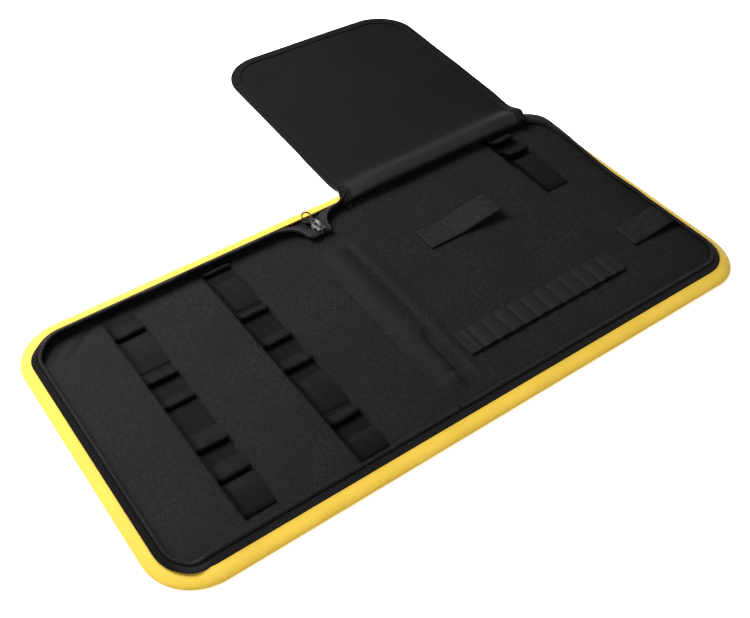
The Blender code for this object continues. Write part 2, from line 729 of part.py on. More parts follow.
def build_flap(finish, edge_finish):
    """The protective flap and the tape that binds its three free edges."""
    rows = flap_grid()
    sheet("flap_panel", rows, finish, FLAP_WALL)
    left = [(row[0], row[0] - row[1]) for row in rows[1:-1]]
    right = [(row[-1], row[-1] - row[-2]) for row in reversed(rows[1:-1])]
    far = []
    for index, point in enumerate(rows[-1]):
        before = rows[-1][max(index - 1, 0)]
        after = rows[-1][min(index + 1, len(rows[-1]) - 1)]
        far.append((point, Vector((before.y - after.y, after.x - before.x, 0))))
    edge = left + far + right
    height = FLAP_WALL / 2 + BINDING_GAP + BINDING_WALL / 2
    sections = []
    for index, (point, out) in enumerate(edge):
        before = edge[max(index - 1, 0)][0]
        after = edge[min(index + 1, len(edge) - 1)][0]
        out = out.normalized()
        up = out.cross(after - before).normalized()
        if point.z - FLAP_LEVEL < GAP / 10:
            out = (after - before).cross(up).normalized()
        reach = BINDING_GAP + BINDING_WALL / 2
        shape = ((-BINDING_WIDTH, 1), (reach * 0.4, 1), (reach, 0.55), (reach, -0.55), (reach * 0.4, -1),
                 (-BINDING_WIDTH, -1))
        sections.append([point + out * away + up * side * height for away, side in shape])
    sheet("flap_binding", sections, edge_finish, BINDING_WALL)


def main():
    clear_scene()
    yellow = material("yellow_nylon_cover", (0.86, 0.58, 0.05), 0.62)
    black = material("black_polyester_lining", (0.020, 0.020, 0.021), 0.78)
    tape = material("black_zip_tape", (0.014, 0.014, 0.014), 0.74)
    coil = material("nylon_coil", (0.035, 0.035, 0.034), 0.38)
    elastic = material("black_elastic", (0.011, 0.011, 0.011), 0.82)
    webbing = material("black_webbing", (0.017, 0.017, 0.017), 0.80)
    vinyl = material("coated_flap_cloth", (0.016, 0.017, 0.018), 0.55)
    metal = material("dark_nickel", (0.20, 0.20, 0.21), 0.32, 1.0)
    build_cover(yellow)
    build_lining(black)
    build_tape(-1, left_tape_sections(), tape, coil)
    build_tape(1, right_tape_sections(), tape, coil)
    build_slider(metal)
    build_pull(metal)
    build_tail(tape)
    build_band("left_loop_band_1", LEFT_BAND_1_PLACE, LEFT_BAND_1, LOOP_RISE, elastic)
    build_band("left_loop_band_2", LEFT_BAND_2_PLACE, LEFT_BAND_2, LOOP_RISE, elastic)
    build_band("far_loop_band", FAR_BAND_PLACE, FAR_BAND, FAR_LOOP_RISE, elastic)
    build_row(elastic)
    build_straps(webbing)
    build_flap(vinyl, tape)


main()
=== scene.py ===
"""A zip-round tool pouch, lying open on a pale table with the flap of its right half folded back.

Lengths are in metres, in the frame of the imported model: X along the open case, Y from the near edge to the
far edge, Z up, and the table at 0.
"""

import math

import bmesh
import bpy
import numpy as np
from mathutils import Matrix, Vector


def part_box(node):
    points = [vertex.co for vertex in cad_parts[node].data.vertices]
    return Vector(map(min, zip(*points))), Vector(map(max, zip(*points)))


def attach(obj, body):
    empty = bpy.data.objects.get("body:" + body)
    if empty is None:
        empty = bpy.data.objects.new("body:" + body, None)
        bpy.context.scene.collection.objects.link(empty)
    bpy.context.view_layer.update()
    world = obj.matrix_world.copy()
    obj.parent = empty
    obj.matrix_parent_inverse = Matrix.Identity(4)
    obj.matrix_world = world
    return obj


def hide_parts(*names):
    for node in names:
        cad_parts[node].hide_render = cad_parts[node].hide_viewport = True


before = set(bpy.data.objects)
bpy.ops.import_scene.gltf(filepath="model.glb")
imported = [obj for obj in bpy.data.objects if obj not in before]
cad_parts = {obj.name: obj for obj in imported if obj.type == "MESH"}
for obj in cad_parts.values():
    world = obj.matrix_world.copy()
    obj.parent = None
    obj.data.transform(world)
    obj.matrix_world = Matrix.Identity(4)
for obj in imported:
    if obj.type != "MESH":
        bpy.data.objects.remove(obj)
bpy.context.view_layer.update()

# Seam between the yellow rim and the zip tape, a rounded rectangle
SEAM_HALF_LENGTH = 0.3215
SEAM_HALF_DEPTH = 0.1565
SEAM_RADIUS = 0.0365
SEAM_HEIGHT = 0.0067
CORNER_X = SEAM_HALF_LENGTH - SEAM_RADIUS
CORNER_Y = SEAM_HALF_DEPTH - SEAM_RADIUS
RIM = {"left": 0.0145, "right": 0.0075, "near": 0.0145, "far": 0.0125}
LINING_TOP = 0.0033
TABLE_GAP = 0.0003
LINING_WALL = 0.0010
LINING_COLUMNS = 285
LINING_ROWS = 151

# Cover: share of the rim's width and share of its height, from the flat back to the seam
COVER_WALL = 0.0012
COVER_PROFILE = (
    (0.78, 0.0), (0.86, 0.012), (0.93, 0.06), (0.98, 0.155), (1.0, 0.28), (0.975, 0.41), (0.92, 0.51), (0.82, 0.62),
    (0.68, 0.73), (0.50, 0.835), (0.32, 0.90), (0.15, 0.95), (0.04, 0.985), (0.0, 1.0),
)
COVER_RIPPLE = 0.03
CORNER_STEPS = 16
SIDE_STEP = 0.012

# Zip tape, zip chain and slider
TAPE_WALL = 0.0009
TAPE_TUCK = 0.0016
TAPE_REACH = 0.0100
TAPE_TURN_OUT = 0.0014
TAPE_TURN_UP = 0.0022
TAPE_BULGE = 0.0044  # how much farther out the tape lies on the left side, over the rim
TAPE_BULGE_RISE = 0.0016
TAPE_BULGE_REACH = 0.0094
TAPE_BULGE_LEAN = 34.0
TAPE_ROOT = LINING_TOP + TABLE_GAP + TAPE_WALL / 2
LEAN_IN = (40.0, 26.0)
LEAN_OUT = (108.0, 155.0)
TOOTH_PITCH = 0.0015
TOOTH_LENGTH = 0.0036
TOOTH_RADIUS = 0.00036
TOOTH_LIFT = 0.0009
TOOTH_BACK = 0.0013
TOOTH_SLANT = 0.06
CORD_HALF = (0.0023, 0.00055)
CORD_BACK = 0.0021
ZIP_MEET_NEAR = -0.0330
SLIDER_X = -0.0015
SLIDER_Y = 0.1310
SLIDER_LENGTH = 0.0150
SLIDER_WIDTH = 0.0096
SLIDER_PLATE = 0.0012
SLIDER_BASE = 0.0062
CHANNEL_BOTTOM = SLIDER_BASE + SLIDER_PLATE
CHANNEL_TOP = CHANNEL_BOTTOM + 0.0038
SLIDER_TOP = CHANNEL_TOP + SLIDER_PLATE
TIP_AT_SLIDER = CHANNEL_BOTTOM + TABLE_GAP + TAPE_WALL / 2
TIP_OFF_CENTRE = 0.00204
SLIDER_WAIST = 0.16
POST = (0.0018, 0.0050, 0.0050)
POST_NEAR = 0.0044
FLANGE = (0.0009, 0.0075, 0.0014)
FLANGE_FAR = 0.0030
FLANGE_IN = 0.0017
BRIDGE_HALF = 0.0050
BRIDGE_RISE = 0.0054
BRIDGE_SUNK = 0.0006
BRIDGE_WIRE = 0.0019
BRIDGE_FLAT = 0.36

# Pull: its place in the bridge, its turns in degrees, and its wire head, stem and ring
HINGE_FAR = 0.0022
HINGE_UP = 0.0025
PULL_YAW = 9.0
PULL_DROP = -14.0
PULL_WIRE = 0.0008
PULL_BEND = 0.0011
HEAD_HALF = 0.0027
HEAD_LENGTH = 0.0088
STEM = (0.0026, 0.0040, 0.0014)
RING_RADIUS = 0.0050
RING_TILT = 30.0

# Sewn end of the chain: share of its length, of its height and of its width
TAIL_WIDTH = 0.0140
TAIL_LENGTH = 0.0225
TAIL_SHAPE = ((0.0, 1.0, 0.42), (0.34, 0.97, 0.44), (0.52, 0.72, 0.60), (0.75, 0.26, 0.84), (1.0, 0.0, 1.0))

# Right tape's turn outwards under the folded flap: by angle at the far corner, then by place along the side
CORNER_LEAN = ((0, 1.0), (30, 1.0), (45, 0.88), (60, 0.66), (75, 0.52), (90, 0.44))
FLAP_START_LEAN = ((1.0, 0.0), (1.26, 0.05), (1.50, 0.25), (1.75, 0.60), (2.04, 0.90), (2.36, 1.0))
SIDE_LEAN = ((0.096, 0.36), (0.078, 0.26), (0.060, 0.16), (0.040, 0.07), (0.020, 0.0))

# Tapes on their way to the slider: tip along, tip inset, tip rise, root along, root inset, root rise
APPROACH_LEFT = 0.0440
APPROACH_RIGHT = 0.0290
APPROACH = (
    (0.00, 0.80, 0.00, 0.21, 0.66, 1.00),
    (0.01, 1.00, 0.00, 0.22, 0.59, 0.98),
    (0.08, 1.07, 0.00, 0.23, 0.52, 0.88),
    (0.20, 1.09, 0.02, 0.25, 0.45, 0.72),
    (0.29, 1.04, 0.06, 0.27, 0.37, 0.61),
    (0.34, 0.91, 0.16, 0.30, 0.28, 0.49),
    (0.38, 0.74, 0.36, 0.36, 0.19, 0.36),
    (0.49, 0.54, 0.62, 0.47, 0.08, 0.20),
    (0.68, 0.39, 0.84, 0.66, 0.01, 0.04),
)
SECTION_SHARES = (0.0, 0.14, 0.34, 0.67, 1.0)

# Soft ridges of the lining over the spine: far x, near x, reach left, reach right, rise
SPINE_RIDGES = (
    (-0.0039, -0.0109, 0.0221, 0.0200, 0.0042),
    (0.0190, 0.0120, 0.0081, 0.0165, 0.0017),
)

# Creases pressed into the lining: from x, y to x, y, half width and depth
CREASES = (
    (-0.256, 0.146, -0.294, 0.114, 0.0045, 0.0013),
    (-0.287, 0.138, -0.307, 0.120, 0.0035, 0.0011),
    (-0.270, 0.150, -0.284, 0.146, 0.0040, 0.0009),
    (-0.296, -0.040, -0.266, -0.088, 0.0045, 0.0006),
    (-0.205, -0.060, -0.182, -0.082, 0.0050, 0.0005),
    (-0.094, 0.118, -0.074, 0.092, 0.0045, 0.0007),
    (-0.016, -0.104, 0.006, -0.106, 0.0040, 0.0016),
    (-0.024, -0.118, -0.012, -0.150, 0.0050, 0.0009),
    (-0.026, 0.080, -0.032, -0.098, 0.0024, 0.0006),
    (0.052, 0.104, 0.066, 0.062, 0.0060, 0.0007),
    (0.118, 0.118, 0.150, 0.098, 0.0050, 0.0006),
    (0.232, -0.020, 0.262, -0.044, 0.0060, 0.0005),
)

# Bays of the elastic bands: length as a share of BAY, crest, height, and whether the crest folds over
BAY = 0.0380
BAND_WIDTH = 0.0310
ELASTIC_WALL = 0.0010
EDGE_LIFT = 0.0009  # how far a band's left edge curls up
BAND_LEVEL = LINING_TOP + TABLE_GAP + ELASTIC_WALL / 2
BAND_TOP = BAND_LEVEL + ELASTIC_WALL / 2 + 0.00005
BAND_HEM = BAND_WIDTH / 2 - 0.001  # half of a line of stitches across a band
BAND_FULLNESS = 1.16
BAND_SKEW = 0.0010
LEFT_BAND_1 = (
    (0.20, 0.5, 0.00, False), (0.80, 0.95, 1.00, True), (1.29, 0.36, 0.66, False), (0.86, 0.54, 1.00, True),
    (1.20, 0.40, 0.80, True), (1.04, 0.80, 1.00, True), (0.82, 0.97, 1.00, True), (1.04, 0.36, 0.66, False),
)
LEFT_BAND_2 = (
    (0.54, 0.39, 0.85, True), (1.26, 0.25, 0.66, False), (1.02, 0.37, 1.00, True), (0.90, 0.57, 1.00, True),
    (0.92, 0.63, 1.00, True), (1.24, 0.30, 0.60, False), (0.88, 0.52, 1.00, True), (0.75, 0.30, 0.55, False),
)
FAR_BAND = ((0.56, 0.75, 1.00, True), (0.64, 0.85, 1.00, True), (1.64, 0.24, 0.54, False))

# Row of small loops
ROW_BAYS = 12
ROW_RISE = 0.0017

# Straps of doubled webbing: share of the length, share of the rise
STRAP_WALL = 0.0016
STRAP_LEVEL = LINING_TOP + TABLE_GAP + STRAP_WALL / 2
UPPER_STRAP = ((0.0, 0.0), (0.38, 0.0), (0.43, 0.06), (0.55, 0.26), (0.72, 0.60), (0.88, 0.88), (1.0, 1.0))
SIDE_STRAP = ((0.0, 0.0), (0.17, 0.02), (0.38, 0.30), (0.60, 0.72), (0.80, 0.98), (0.90, 0.90), (1.0, 0.10))

# Flap folded back over the far edge: share of the fold's reach, share of the crest's height, trim at the right
FLAP_CENTRE = 0.1775
FLAP_WIDTH = 0.2600
FLAP_LENGTH = 0.3065
FLAP_WALL = 0.0016
FLAP_RADIUS = 0.0500
FOLD_REACH = 0.0900
FLAP_DRIFT = 0.0055
FLAP_SPREAD = 0.0050  # how much farther left the flap reaches at the fold
FLAP_TUCK = 0.0045  # how far the left edge is drawn in where it comes down from the fold
FLAP_TURN = 0.0419
FLAP_START_Y = 0.15265
FLAP_LEVEL = 0.0018
FLAP_CREST = 0.01742
BINDING_WIDTH = 0.0105
BINDING_OFF = 0.0015
BINDING_SHAPE = (
    (-BINDING_WIDTH, 1.0), (-0.7 * BINDING_WIDTH, 1.04), (-0.35 * BINDING_WIDTH, 1.05), (-0.0005, 1.0),
    (0.0004, 0.82), (0.0007, 0.45), (0.0007, -0.45), (0.0004, -0.82), (-0.0005, -1.0),
    (-0.4 * BINDING_WIDTH, -1.0), (-BINDING_WIDTH, -1.0),
)
FLAP_FOLD = (
    (0.000, 0.147, 0.0125), (-0.020, 0.30, 0.0115), (-0.042, 0.46, 0.0095), (-0.052, 0.62, 0.0075),
    (-0.048, 0.74, 0.0060), (-0.022, 0.83, 0.0045), (0.020, 0.91, 0.0030), (0.065, 0.975, 0.0015),
    (0.110, 0.985, 0.0), (0.180, 0.85, 0.0), (0.285, 0.50, 0.0), (0.430, 0.18, 0.0), (0.630, 0.05, 0.0),
    (1.000, 0.0, 0.0),
)
FOLD_ENDS = (0.76, 0.74)  # how high the fold still stands at its left and right ends
FOLD_END_REACH = 0.052

# Lights: place, size, energy and tint
LIGHTS = {
    "window": ((-0.42, 0.78, 0.86), (0.9, 0.7), 44, (1.0, 0.995, 0.98)),
    "fill": ((-0.2, -1.5, 1.0), (2.0, 1.0), 13, (0.98, 0.99, 1.0)),
}
ROOM_LIGHT = 0.36

# Camera, fitted to the photograph
CAMERA_AIM = Vector((-0.01755, 0.00554, 0.0))
CAMERA_DISTANCE = 1.030
CAMERA_AZIMUTH = -35.307
CAMERA_HEIGHT = 45.756
CAMERA_ROLL = -0.239
CAMERA_LENS = 49.95


# Tools

def deselect():
    for obj in bpy.context.selected_objects:
        obj.select_set(False)


def activate(obj):
    deselect()
    obj.select_set(True)
    bpy.context.view_layer.objects.active = obj


def modify(piece, kind, **settings):
    """Adds a modifier, sets it and takes it into the mesh."""
    activate(piece)
    made = piece.modifiers.new(kind.lower(), kind)
    for name, value in settings.items():
        setattr(made, name, value)
    bpy.ops.object.modifier_apply(modifier=made.name)


def edit(piece, shape):
    """Runs a function on the piece's edit mesh."""
    body = bmesh.new()
    body.from_mesh(piece.data)
    shape(body)
    body.to_mesh(piece.data)
    body.free()


def finish(piece, material, body="case", angle=50):
    """Gives a piece its material, smooth shading and the body that it rides on."""
    piece.data.materials.clear()
    piece.data.materials.append(material)
    activate(piece)
    bpy.ops.object.shade_smooth_by_angle(angle=math.radians(angle))
    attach(piece, body)
    return piece


def soft(value, start, end):
    """0 before start, 1 after end and a soft step between them, for numbers and arrays."""
    share = np.clip((value - start) / (end - start), 0.0, 1.0)
    return share * share * (3 - 2 * share)


def between(table, value):
    return float(np.interp(value, *zip(*sorted(table))))


def refined(table, steps, axis=0):
    """More rows between the rows of a table of points, on smooth curves through them."""
    table = np.moveaxis(np.asarray(table, float), axis, 0)
    ends = np.concatenate([[2 * table[0] - table[1]], table, [2 * table[-1] - table[-2]]])
    made = []
    for a, b, c, d in zip(ends, ends[1:], ends[2:], ends[3:]):
        for step in range(steps):
            t = step / steps
            made.append(0.5 * (2 * b + (c - a) * t + (2 * a - 5 * b + 4 * c - d) * t * t
                               + (3 * b - a - 3 * c + d) * t ** 3))
    made.append(table[-1])
    return np.moveaxis(np.array(made), 0, axis)


def lengths(path):
    """How far along a path each of its points lies."""
    return np.concatenate([[0], np.cumsum(np.linalg.norm(np.diff(path, axis=0), axis=1))])


def at(path, run, place):
    """The point of a path at a place along it."""
    return Vector([np.interp(place, run, path[:, axis]) for axis in range(3)])


def evenly(path, step):
    """Points at equal steps along a path."""
    path = np.asarray(path, float)
    run = lengths(path)
    places = np.linspace(0, run[-1], max(2, round(run[-1] / step) + 1))
    return np.stack([np.interp(places, run, path[:, axis]) for axis in range(path.shape[1])], axis=1)


def wander(places, size, seed):
    """Smooth numbers between -1 and 1 that wander along an array of places, the same on each run."""
    turns = np.random.default_rng(seed).uniform(0, 2 * math.pi, 5)
    waves = [np.sin(places / size * (0.6 + 0.37 * k) * 2 * math.pi + turn) / (1 + 0.5 * k)
             for k, turn in enumerate(turns)]
    return sum(waves) / 2.5


def cloth(name, rows, wall, offset=0.0, closed=False, floor=False):
    """Cloth on a table of points: a grid primitive moved point by point, with a UV map in metres and a wall."""
    rows = np.asarray(rows, float)
    down, across = rows.shape[:2]
    deselect()
    bpy.ops.mesh.primitive_grid_add(x_subdivisions=across - 1, y_subdivisions=down - 1, size=1.0)
    piece = bpy.context.object
    piece.name = piece.data.name = name
    mesh = piece.data
    places = np.empty(len(mesh.vertices) * 3)
    mesh.vertices.foreach_get("co", places)
    places = places.reshape(-1, 3)
    column = np.rint((places[:, 0] + 0.5) * (across - 1)).astype(int)
    row = np.rint((places[:, 1] + 0.5) * (down - 1)).astype(int)
    mesh.vertices.foreach_set("co", rows[row, column].ravel())
    along = np.linalg.norm(np.diff(rows, axis=1), axis=2).mean(axis=0)
    deep = np.linalg.norm(np.diff(rows, axis=0), axis=2).mean(axis=1)
    u, v = np.concatenate([[0], np.cumsum(along)]), np.concatenate([[0], np.cumsum(deep)])
    corners = np.empty(len(mesh.loops), int)
    mesh.loops.foreach_get("vertex_index", corners)
    flat = np.stack([u[column[corners]], v[row[corners]]], axis=1)
    mesh.uv_layers[0].data.foreach_set("uv", flat.ravel())
    piece["cut"] = (float(u[-1]), float(v[-1]))
    if closed:
        edit(piece, lambda body: bmesh.ops.remove_doubles(body, verts=body.verts[:], dist=1e-6))
    if floor:
        edit(piece, lambda body: bmesh.ops.holes_fill(
            body, edges=[e for e in body.edges if e.is_boundary and max(v.co.z for v in e.verts) < 1e-5], sides=0))
    modify(piece, "SOLIDIFY", thickness=wall, offset=offset, use_even_offset=True, use_quality_normals=True)
    return piece


def new_piece(name, points, faces):
    mesh = bpy.data.meshes.new(name)
    mesh.from_pydata(points, [], faces)
    piece = bpy.data.objects.new(name, mesh)
    bpy.context.scene.collection.objects.link(piece)
    return piece


def repeated(name, pattern, placements):
    """One mesh of many copies of a modelled shape, which is removed."""
    points = np.array([v.co[:] for v in pattern.data.vertices])
    faces = [tuple(face.vertices) for face in pattern.data.polygons]
    every, all_faces = [], []
    for matrix in map(np.array, placements):
        start = len(every) * len(points)
        every.append(points @ matrix[:3, :3].T + matrix[:3, 3])
        all_faces += [tuple(start + corner for corner in face) for face in faces]
    bpy.data.objects.remove(pattern)
    return new_piece(name, np.concatenate(every).tolist(), all_faces)


def placing(point, along, up):
    """A placement with its X along a direction and its Z as near as can be to another."""
    x = Vector(along).normalized()
    y = Vector(up).cross(x).normalized()
    return Matrix.Translation(Vector(point)) @ Matrix((x, y, x.cross(y))).transposed().to_4x4()


def bar(length, radius, sides=6, flat=1.0, cuts=3, bow=0.0):
    """A short rounded thread or wire that lies along X, with its middle raised."""
    deselect()
    bpy.ops.mesh.primitive_cylinder_add(vertices=sides, radius=radius, depth=length, rotation=(0, math.pi / 2, 0))
    piece = bpy.context.object
    bpy.ops.object.transform_apply(location=False, rotation=True, scale=False)
    bpy.ops.object.mode_set(mode="EDIT")
    for cut in range(1, cuts):
        bpy.ops.mesh.select_all(action="SELECT")
        bpy.ops.mesh.bisect(plane_co=(length * (cut / cuts - 0.5), 0, 0), plane_no=(1, 0, 0))
    bpy.ops.object.mode_set(mode="OBJECT")
    for v in piece.data.vertices:
        share = min(abs(v.co.x) / (length / 2), 1.0)
        slim = 1 - 0.45 * share ** 4
        v.co.y *= slim
        v.co.z = v.co.z * flat * slim + bow * (1 - share ** 2)
    return piece


STITCHES = {"light": [], "dark": []}


def stitch_line(path, pitch=0.0030, shade="dark"):
    """Adds a row of stitches along a path, to be made into one piece of thread later."""
    path = np.asarray(path, float)
    run = lengths(path)
    count = max(1, round(run[-1] / pitch))
    for index in range(count):
        start, end = (at(path, run, (index + share) * run[-1] / count) for share in (0.14, 0.86))
        STITCHES[shade].append(placing((start + end) / 2, end - start, (0, 0, 1)))


# Materials

def colour(code):
    """The linear colour of an sRGB hex value."""
    parts = [int(code[i:i + 2], 16) / 255 for i in (1, 3, 5)]
    return (*(p / 12.92 if p <= 0.04045 else ((p + 0.055) / 1.055) ** 2.4 for p in parts), 1.0)


def add(tree, kind, inputs=None, **settings):
    """Adds a node, with its settings and with values or links for its inputs."""
    made = tree.nodes.new("ShaderNode" + kind)
    for name, value in settings.items():
        setattr(made, name, value)
    for name, value in (inputs or {}).items():
        if isinstance(value, bpy.types.NodeSocket):
            tree.links.new(value, made.inputs[name])
        else:
            made.inputs[name].default_value = value
    return made


def material(name, **sockets):
    """A new material, its tree and its UV and object places, with constants set on the shader's own sockets."""
    made = bpy.data.materials.new(name)
    made.use_nodes = True
    tree = made.node_tree
    for socket, value in sockets.items():
        tree.nodes["Principled BSDF"].inputs[socket.replace("_", " ")].default_value = value
    places = add(tree, "TexCoord").outputs
    return made, tree, places["UV"], places["Object"]


def dress(tree, tone, height=None, strength=0.0, depth=0.0):
    """Gives the shader its colour and its relief."""
    shader = tree.nodes["Principled BSDF"]
    tree.links.new(tone, shader.inputs["Base Color"])
    if height is not None:
        bump = add(tree, "Bump", {"Strength": strength, "Distance": depth, "Height": height})
        tree.links.new(bump.outputs[0], shader.inputs["Normal"])


def blend_colour(tree, factor, first, second):
    """Mixes two colours, each a hex value or a link, by a factor."""
    first, second = (colour(tone) if isinstance(tone, str) else tone for tone in (first, second))
    return add(tree, "Mix", {0: factor, 6: first, 7: second}, data_type="RGBA").outputs[2]


def remap(tree, value, low, high, to_low=0.0, to_high=1.0):
    return add(tree, "MapRange", {0: value, 1: low, 2: high, 3: to_low, 4: to_high}).outputs[0]


def combine(tree, kind, first, second):
    return add(tree, "Math", {0: first, 1: second}, operation=kind).outputs[0]


def part(tree, where, axis):
    return add(tree, "SeparateXYZ", {"Vector": where}).outputs[axis]


def turn(tree, where, degrees):
    return add(tree, "Mapping", {"Vector": where, "Rotation": (0, 0, math.radians(degrees))}).outputs[0]


def noise(tree, where, scale, detail=2.0):
    return add(tree, "TexNoise", {"Vector": where, "Scale": scale, "Detail": detail}).outputs["Fac"]


WAVE = 0.314159  # a wave texture's period at scale 1


def waves(tree, where, period, direction, **inputs):
    """Lines at a spacing in metres."""
    inputs = {name.replace("_", " "): value for name, value in inputs.items()}
    return add(tree, "TexWave", {"Vector": where, "Scale": WAVE / period, **inputs},
               bands_direction=direction).outputs["Fac"]


def weave(tree, where, across, along, twill=0.0):
    """The height of woven threads, with their spacing across and along in metres, and a slant for twill."""
    turned = turn(tree, where, twill)
    warp, weft = (waves(tree, turned, period, direction, Distortion=0.6, Detail=1.0, Detail_Scale=2.0)
                  for period, direction in ((across, "X"), (along, "Y")))
    return combine(tree, "MAXIMUM", warp, weft)


def paint_edge_shade(tree, where, tone, width):
    """Paints shade on the last strip of a band or strap before its edge: a near-black strip standing in for the
    dark gap under the edge, where it curls away from the light.
    """
    start = BAND_WIDTH - width
    return blend_colour(tree, remap(tree, part(tree, where, "X"), start - 0.0003, start + 0.0003), tone, "#020202")


def make_mottled(name, scale, low, high, **sockets):
    """One stuff whose tone wanders a little from place to place."""
    made, tree, _, place = material(name, **sockets)
    dress(tree, blend_colour(tree, noise(tree, place, scale), low, high))
    return made


def make_cover_nylon():
    """600 denier polyester Oxford, dyed yellow: a matt basket weave with a faint sheen and a little soiling."""
    made, tree, uv, place = material("yellow_oxford_polyester", Roughness=0.72, Specular_IOR_Level=0.28,
                                     Sheen_Weight=0.15, Sheen_Roughness=0.45)
    threads = weave(tree, uv, 0.0011, 0.0011)
    base = blend_colour(tree, remap(tree, noise(tree, place, 26.0, 3.0), 0.35, 0.65), "#C2A230", "#CAA93A")
    dress(tree, blend_colour(tree, remap(tree, threads, 0.2, 0.9), "#AE8E22", base), threads, 0.5, 0.00022)
    return made


def make_lining_cloth():
    """420 denier polyester lining: plain weave, matt. Its threads stand 0.5 mm apart, and what the eye gets from
    them at arm's length is drawn instead: broken slanted lines 2 mm apart and a fine uneven grain."""
    made, tree, _, place = material("black_polyester_lining", Roughness=0.65, Specular_IOR_Level=0.03)
    lines = waves(tree, turn(tree, place, 35.0), 0.0024, "X", Distortion=2.3, Detail=2.0, Detail_Scale=40.0,
                  Detail_Roughness=0.6)
    broken = combine(tree, "MULTIPLY", lines, remap(tree, noise(tree, place, 270.0, 3.0), 0.42, 0.62))
    faint = combine(tree, "MULTIPLY", broken, remap(tree, noise(tree, place, 16.0), 0.35, 0.65, 0.15, 0.9))
    height = combine(tree, "ADD", faint, noise(tree, place, 430.0))
    dress(tree, blend_colour(tree, remap(tree, height, 0.3, 1.4), "#101010", "#1E1E1E"), height, 0.5, 0.00016)
    return made


def make_tape_cloth():
    """Knitted polyester zip tape: a fine herringbone, matt and nearly black, with painted shade that darkens it
    along the left side.
    """
    made, tree, uv, place = material("knitted_zip_tape", Roughness=0.75, Specular_IOR_Level=0.05)
    ribs = weave(tree, uv, 0.0012, 0.0020, twill=18.0)
    # Painted shade: the tape is darkened towards near black along the left side of the case.
    dark = remap(tree, part(tree, place, "X"), -0.318, -0.296, 1.0, 0.0)
    tone = blend_colour(tree, dark, blend_colour(tree, ribs, "#131314", "#222223"), "#060606")
    dress(tree, tone, ribs, 0.6, 0.00025)
    return made


def make_core_cord():
    """Core cord inside the coil: black, matt, the dark line that parts the teeth from the tape."""
    return make_mottled("coil_core_cord", 900.0, "#030303", "#070707", Roughness=0.9, Specular_IOR_Level=0.05)


def make_tooth_nylon():
    """Nylon monofilament coil: smooth, a little glossy, grey where the light catches it."""
    return make_mottled("nylon_coil", 90.0, "#1C1C1C", "#272727", Roughness=0.55, Specular_IOR_Level=0.16)


def make_elastic(name, low, high, edge_shade_width, recess_shade_strength):
    """Woven elastic: rubber cores covered in polyester, seen as faint fine ribs that run along the band. It carries
    painted shade where it lies low, in the recesses under the crests of its loops, and painted shade along one
    edge."""
    made, tree, uv, place = material(name, Roughness=0.66, Specular_IOR_Level=0.04)
    height = combine(tree, "ADD", waves(tree, uv, 0.0015, "X", Distortion=0.4), noise(tree, uv, 700.0))
    tone = blend_colour(tree, remap(tree, height, 0.4, 1.5), low, high)
    # Painted shade: the elastic is darkened where it lies low between the crests, and a near-black strip runs along
    # one edge.
    recess_shade_mask = remap(tree, part(tree, place, "Z"), BAND_LEVEL + 0.0008, BAND_LEVEL + 0.0030, recess_shade_strength, 0.0)
    dress(tree, paint_edge_shade(tree, uv, blend_colour(tree, recess_shade_mask, tone, "#010101"), edge_shade_width), height, 0.3, 0.00012)
    return made


def make_webbing():
    """Polypropylene webbing, doubled and sewn: coarse cross ribs, matt, with a mottled nap and painted shade along
    one edge.
    """
    made, tree, uv, _ = material("black_webbing", Roughness=0.70, Specular_IOR_Level=0.10)
    nap = remap(tree, noise(tree, uv, 160.0, 3.0), 0.35, 0.65, 0.0, 1.2)
    height = combine(tree, "ADD", weave(tree, uv, 0.0022, 0.0014), nap)
    tone = blend_colour(tree, remap(tree, height, 0.3, 1.9), "#080808", "#141413")
    # Painted shade: a near-black strip along one edge of the strap, for the dark gap under it.
    dress(tree, paint_edge_shade(tree, uv, tone, 0.0015), height, 0.6, 0.0002)
    return made


def make_flap_cloth():
    """Coated polyester flap: a close weave under a thin coat, with a painted highlight along the fold."""
    made, tree, uv, place = material("coated_flap_cloth", Roughness=0.60, Specular_IOR_Level=0.05)
    tone = blend_colour(tree, remap(tree, noise(tree, place, 9.0, 3.0), 0.3, 0.7), "#0B0B0C", "#0E0E0F")
    # Painted highlight: a paler band across the fold's crest, between y 0.144 and 0.186.
    back = part(tree, place, "Y")
    fold_highlight_mask = combine(tree, "MULTIPLY", remap(tree, back, 0.144, 0.151), remap(tree, back, 0.163, 0.186, 1.0, 0.0))
    dress(tree, blend_colour(tree, fold_highlight_mask, tone, "#1A1A1B"), weave(tree, uv, 0.0016, 0.0016), 0.35, 0.0001)
    return made


def make_binding():
    """Grosgrain binding tape: cross ribs about 2 mm apart, which catch the light one by one."""
    made, tree, uv, _ = material("grosgrain_binding", Roughness=0.75, Specular_IOR_Level=0.05)
    ribs = waves(tree, uv, 0.0019, "Y", Distortion=0.5, Detail=1.0)
    dress(tree, blend_colour(tree, ribs, "#030303", "#151515"), ribs, 0.8, 0.0003)
    return made


def make_thread(name, low, high):
    """Bonded polyester sewing thread: round and twisted, so that it catches the light stitch by stitch."""
    return make_mottled(name, 1500.0, low, high, Roughness=0.6, Specular_IOR_Level=0.16)


def make_slider_metal(name, low, high, metallic):
    """Die-cast zinc, tumbled and plated in dark nickel: soft highlights, worn brighter in patches."""
    made, tree, _, place = material(name, Metallic=metallic)
    wear = noise(tree, place, 420.0, 4.0)
    rough = remap(tree, wear, 0.3, 0.7, 0.38, 0.52)
    tree.links.new(rough, tree.nodes["Principled BSDF"].inputs["Roughness"])
    dress(tree, blend_colour(tree, remap(tree, wear, 0.35, 0.65), low, high), wear, 0.2, 0.00005)
    return made


def make_table():
    """Opal acrylic of a light table, lit a little from below, so that its white runs out of the picture."""
    return make_mottled("opal_acrylic", 1.5, "#FBFBFB", "#FEFEFE", Roughness=0.9, Specular_IOR_Level=0.1,
                        Emission_Color=(1.0, 1.0, 1.0, 1.0), Emission_Strength=0.40)


# Cover

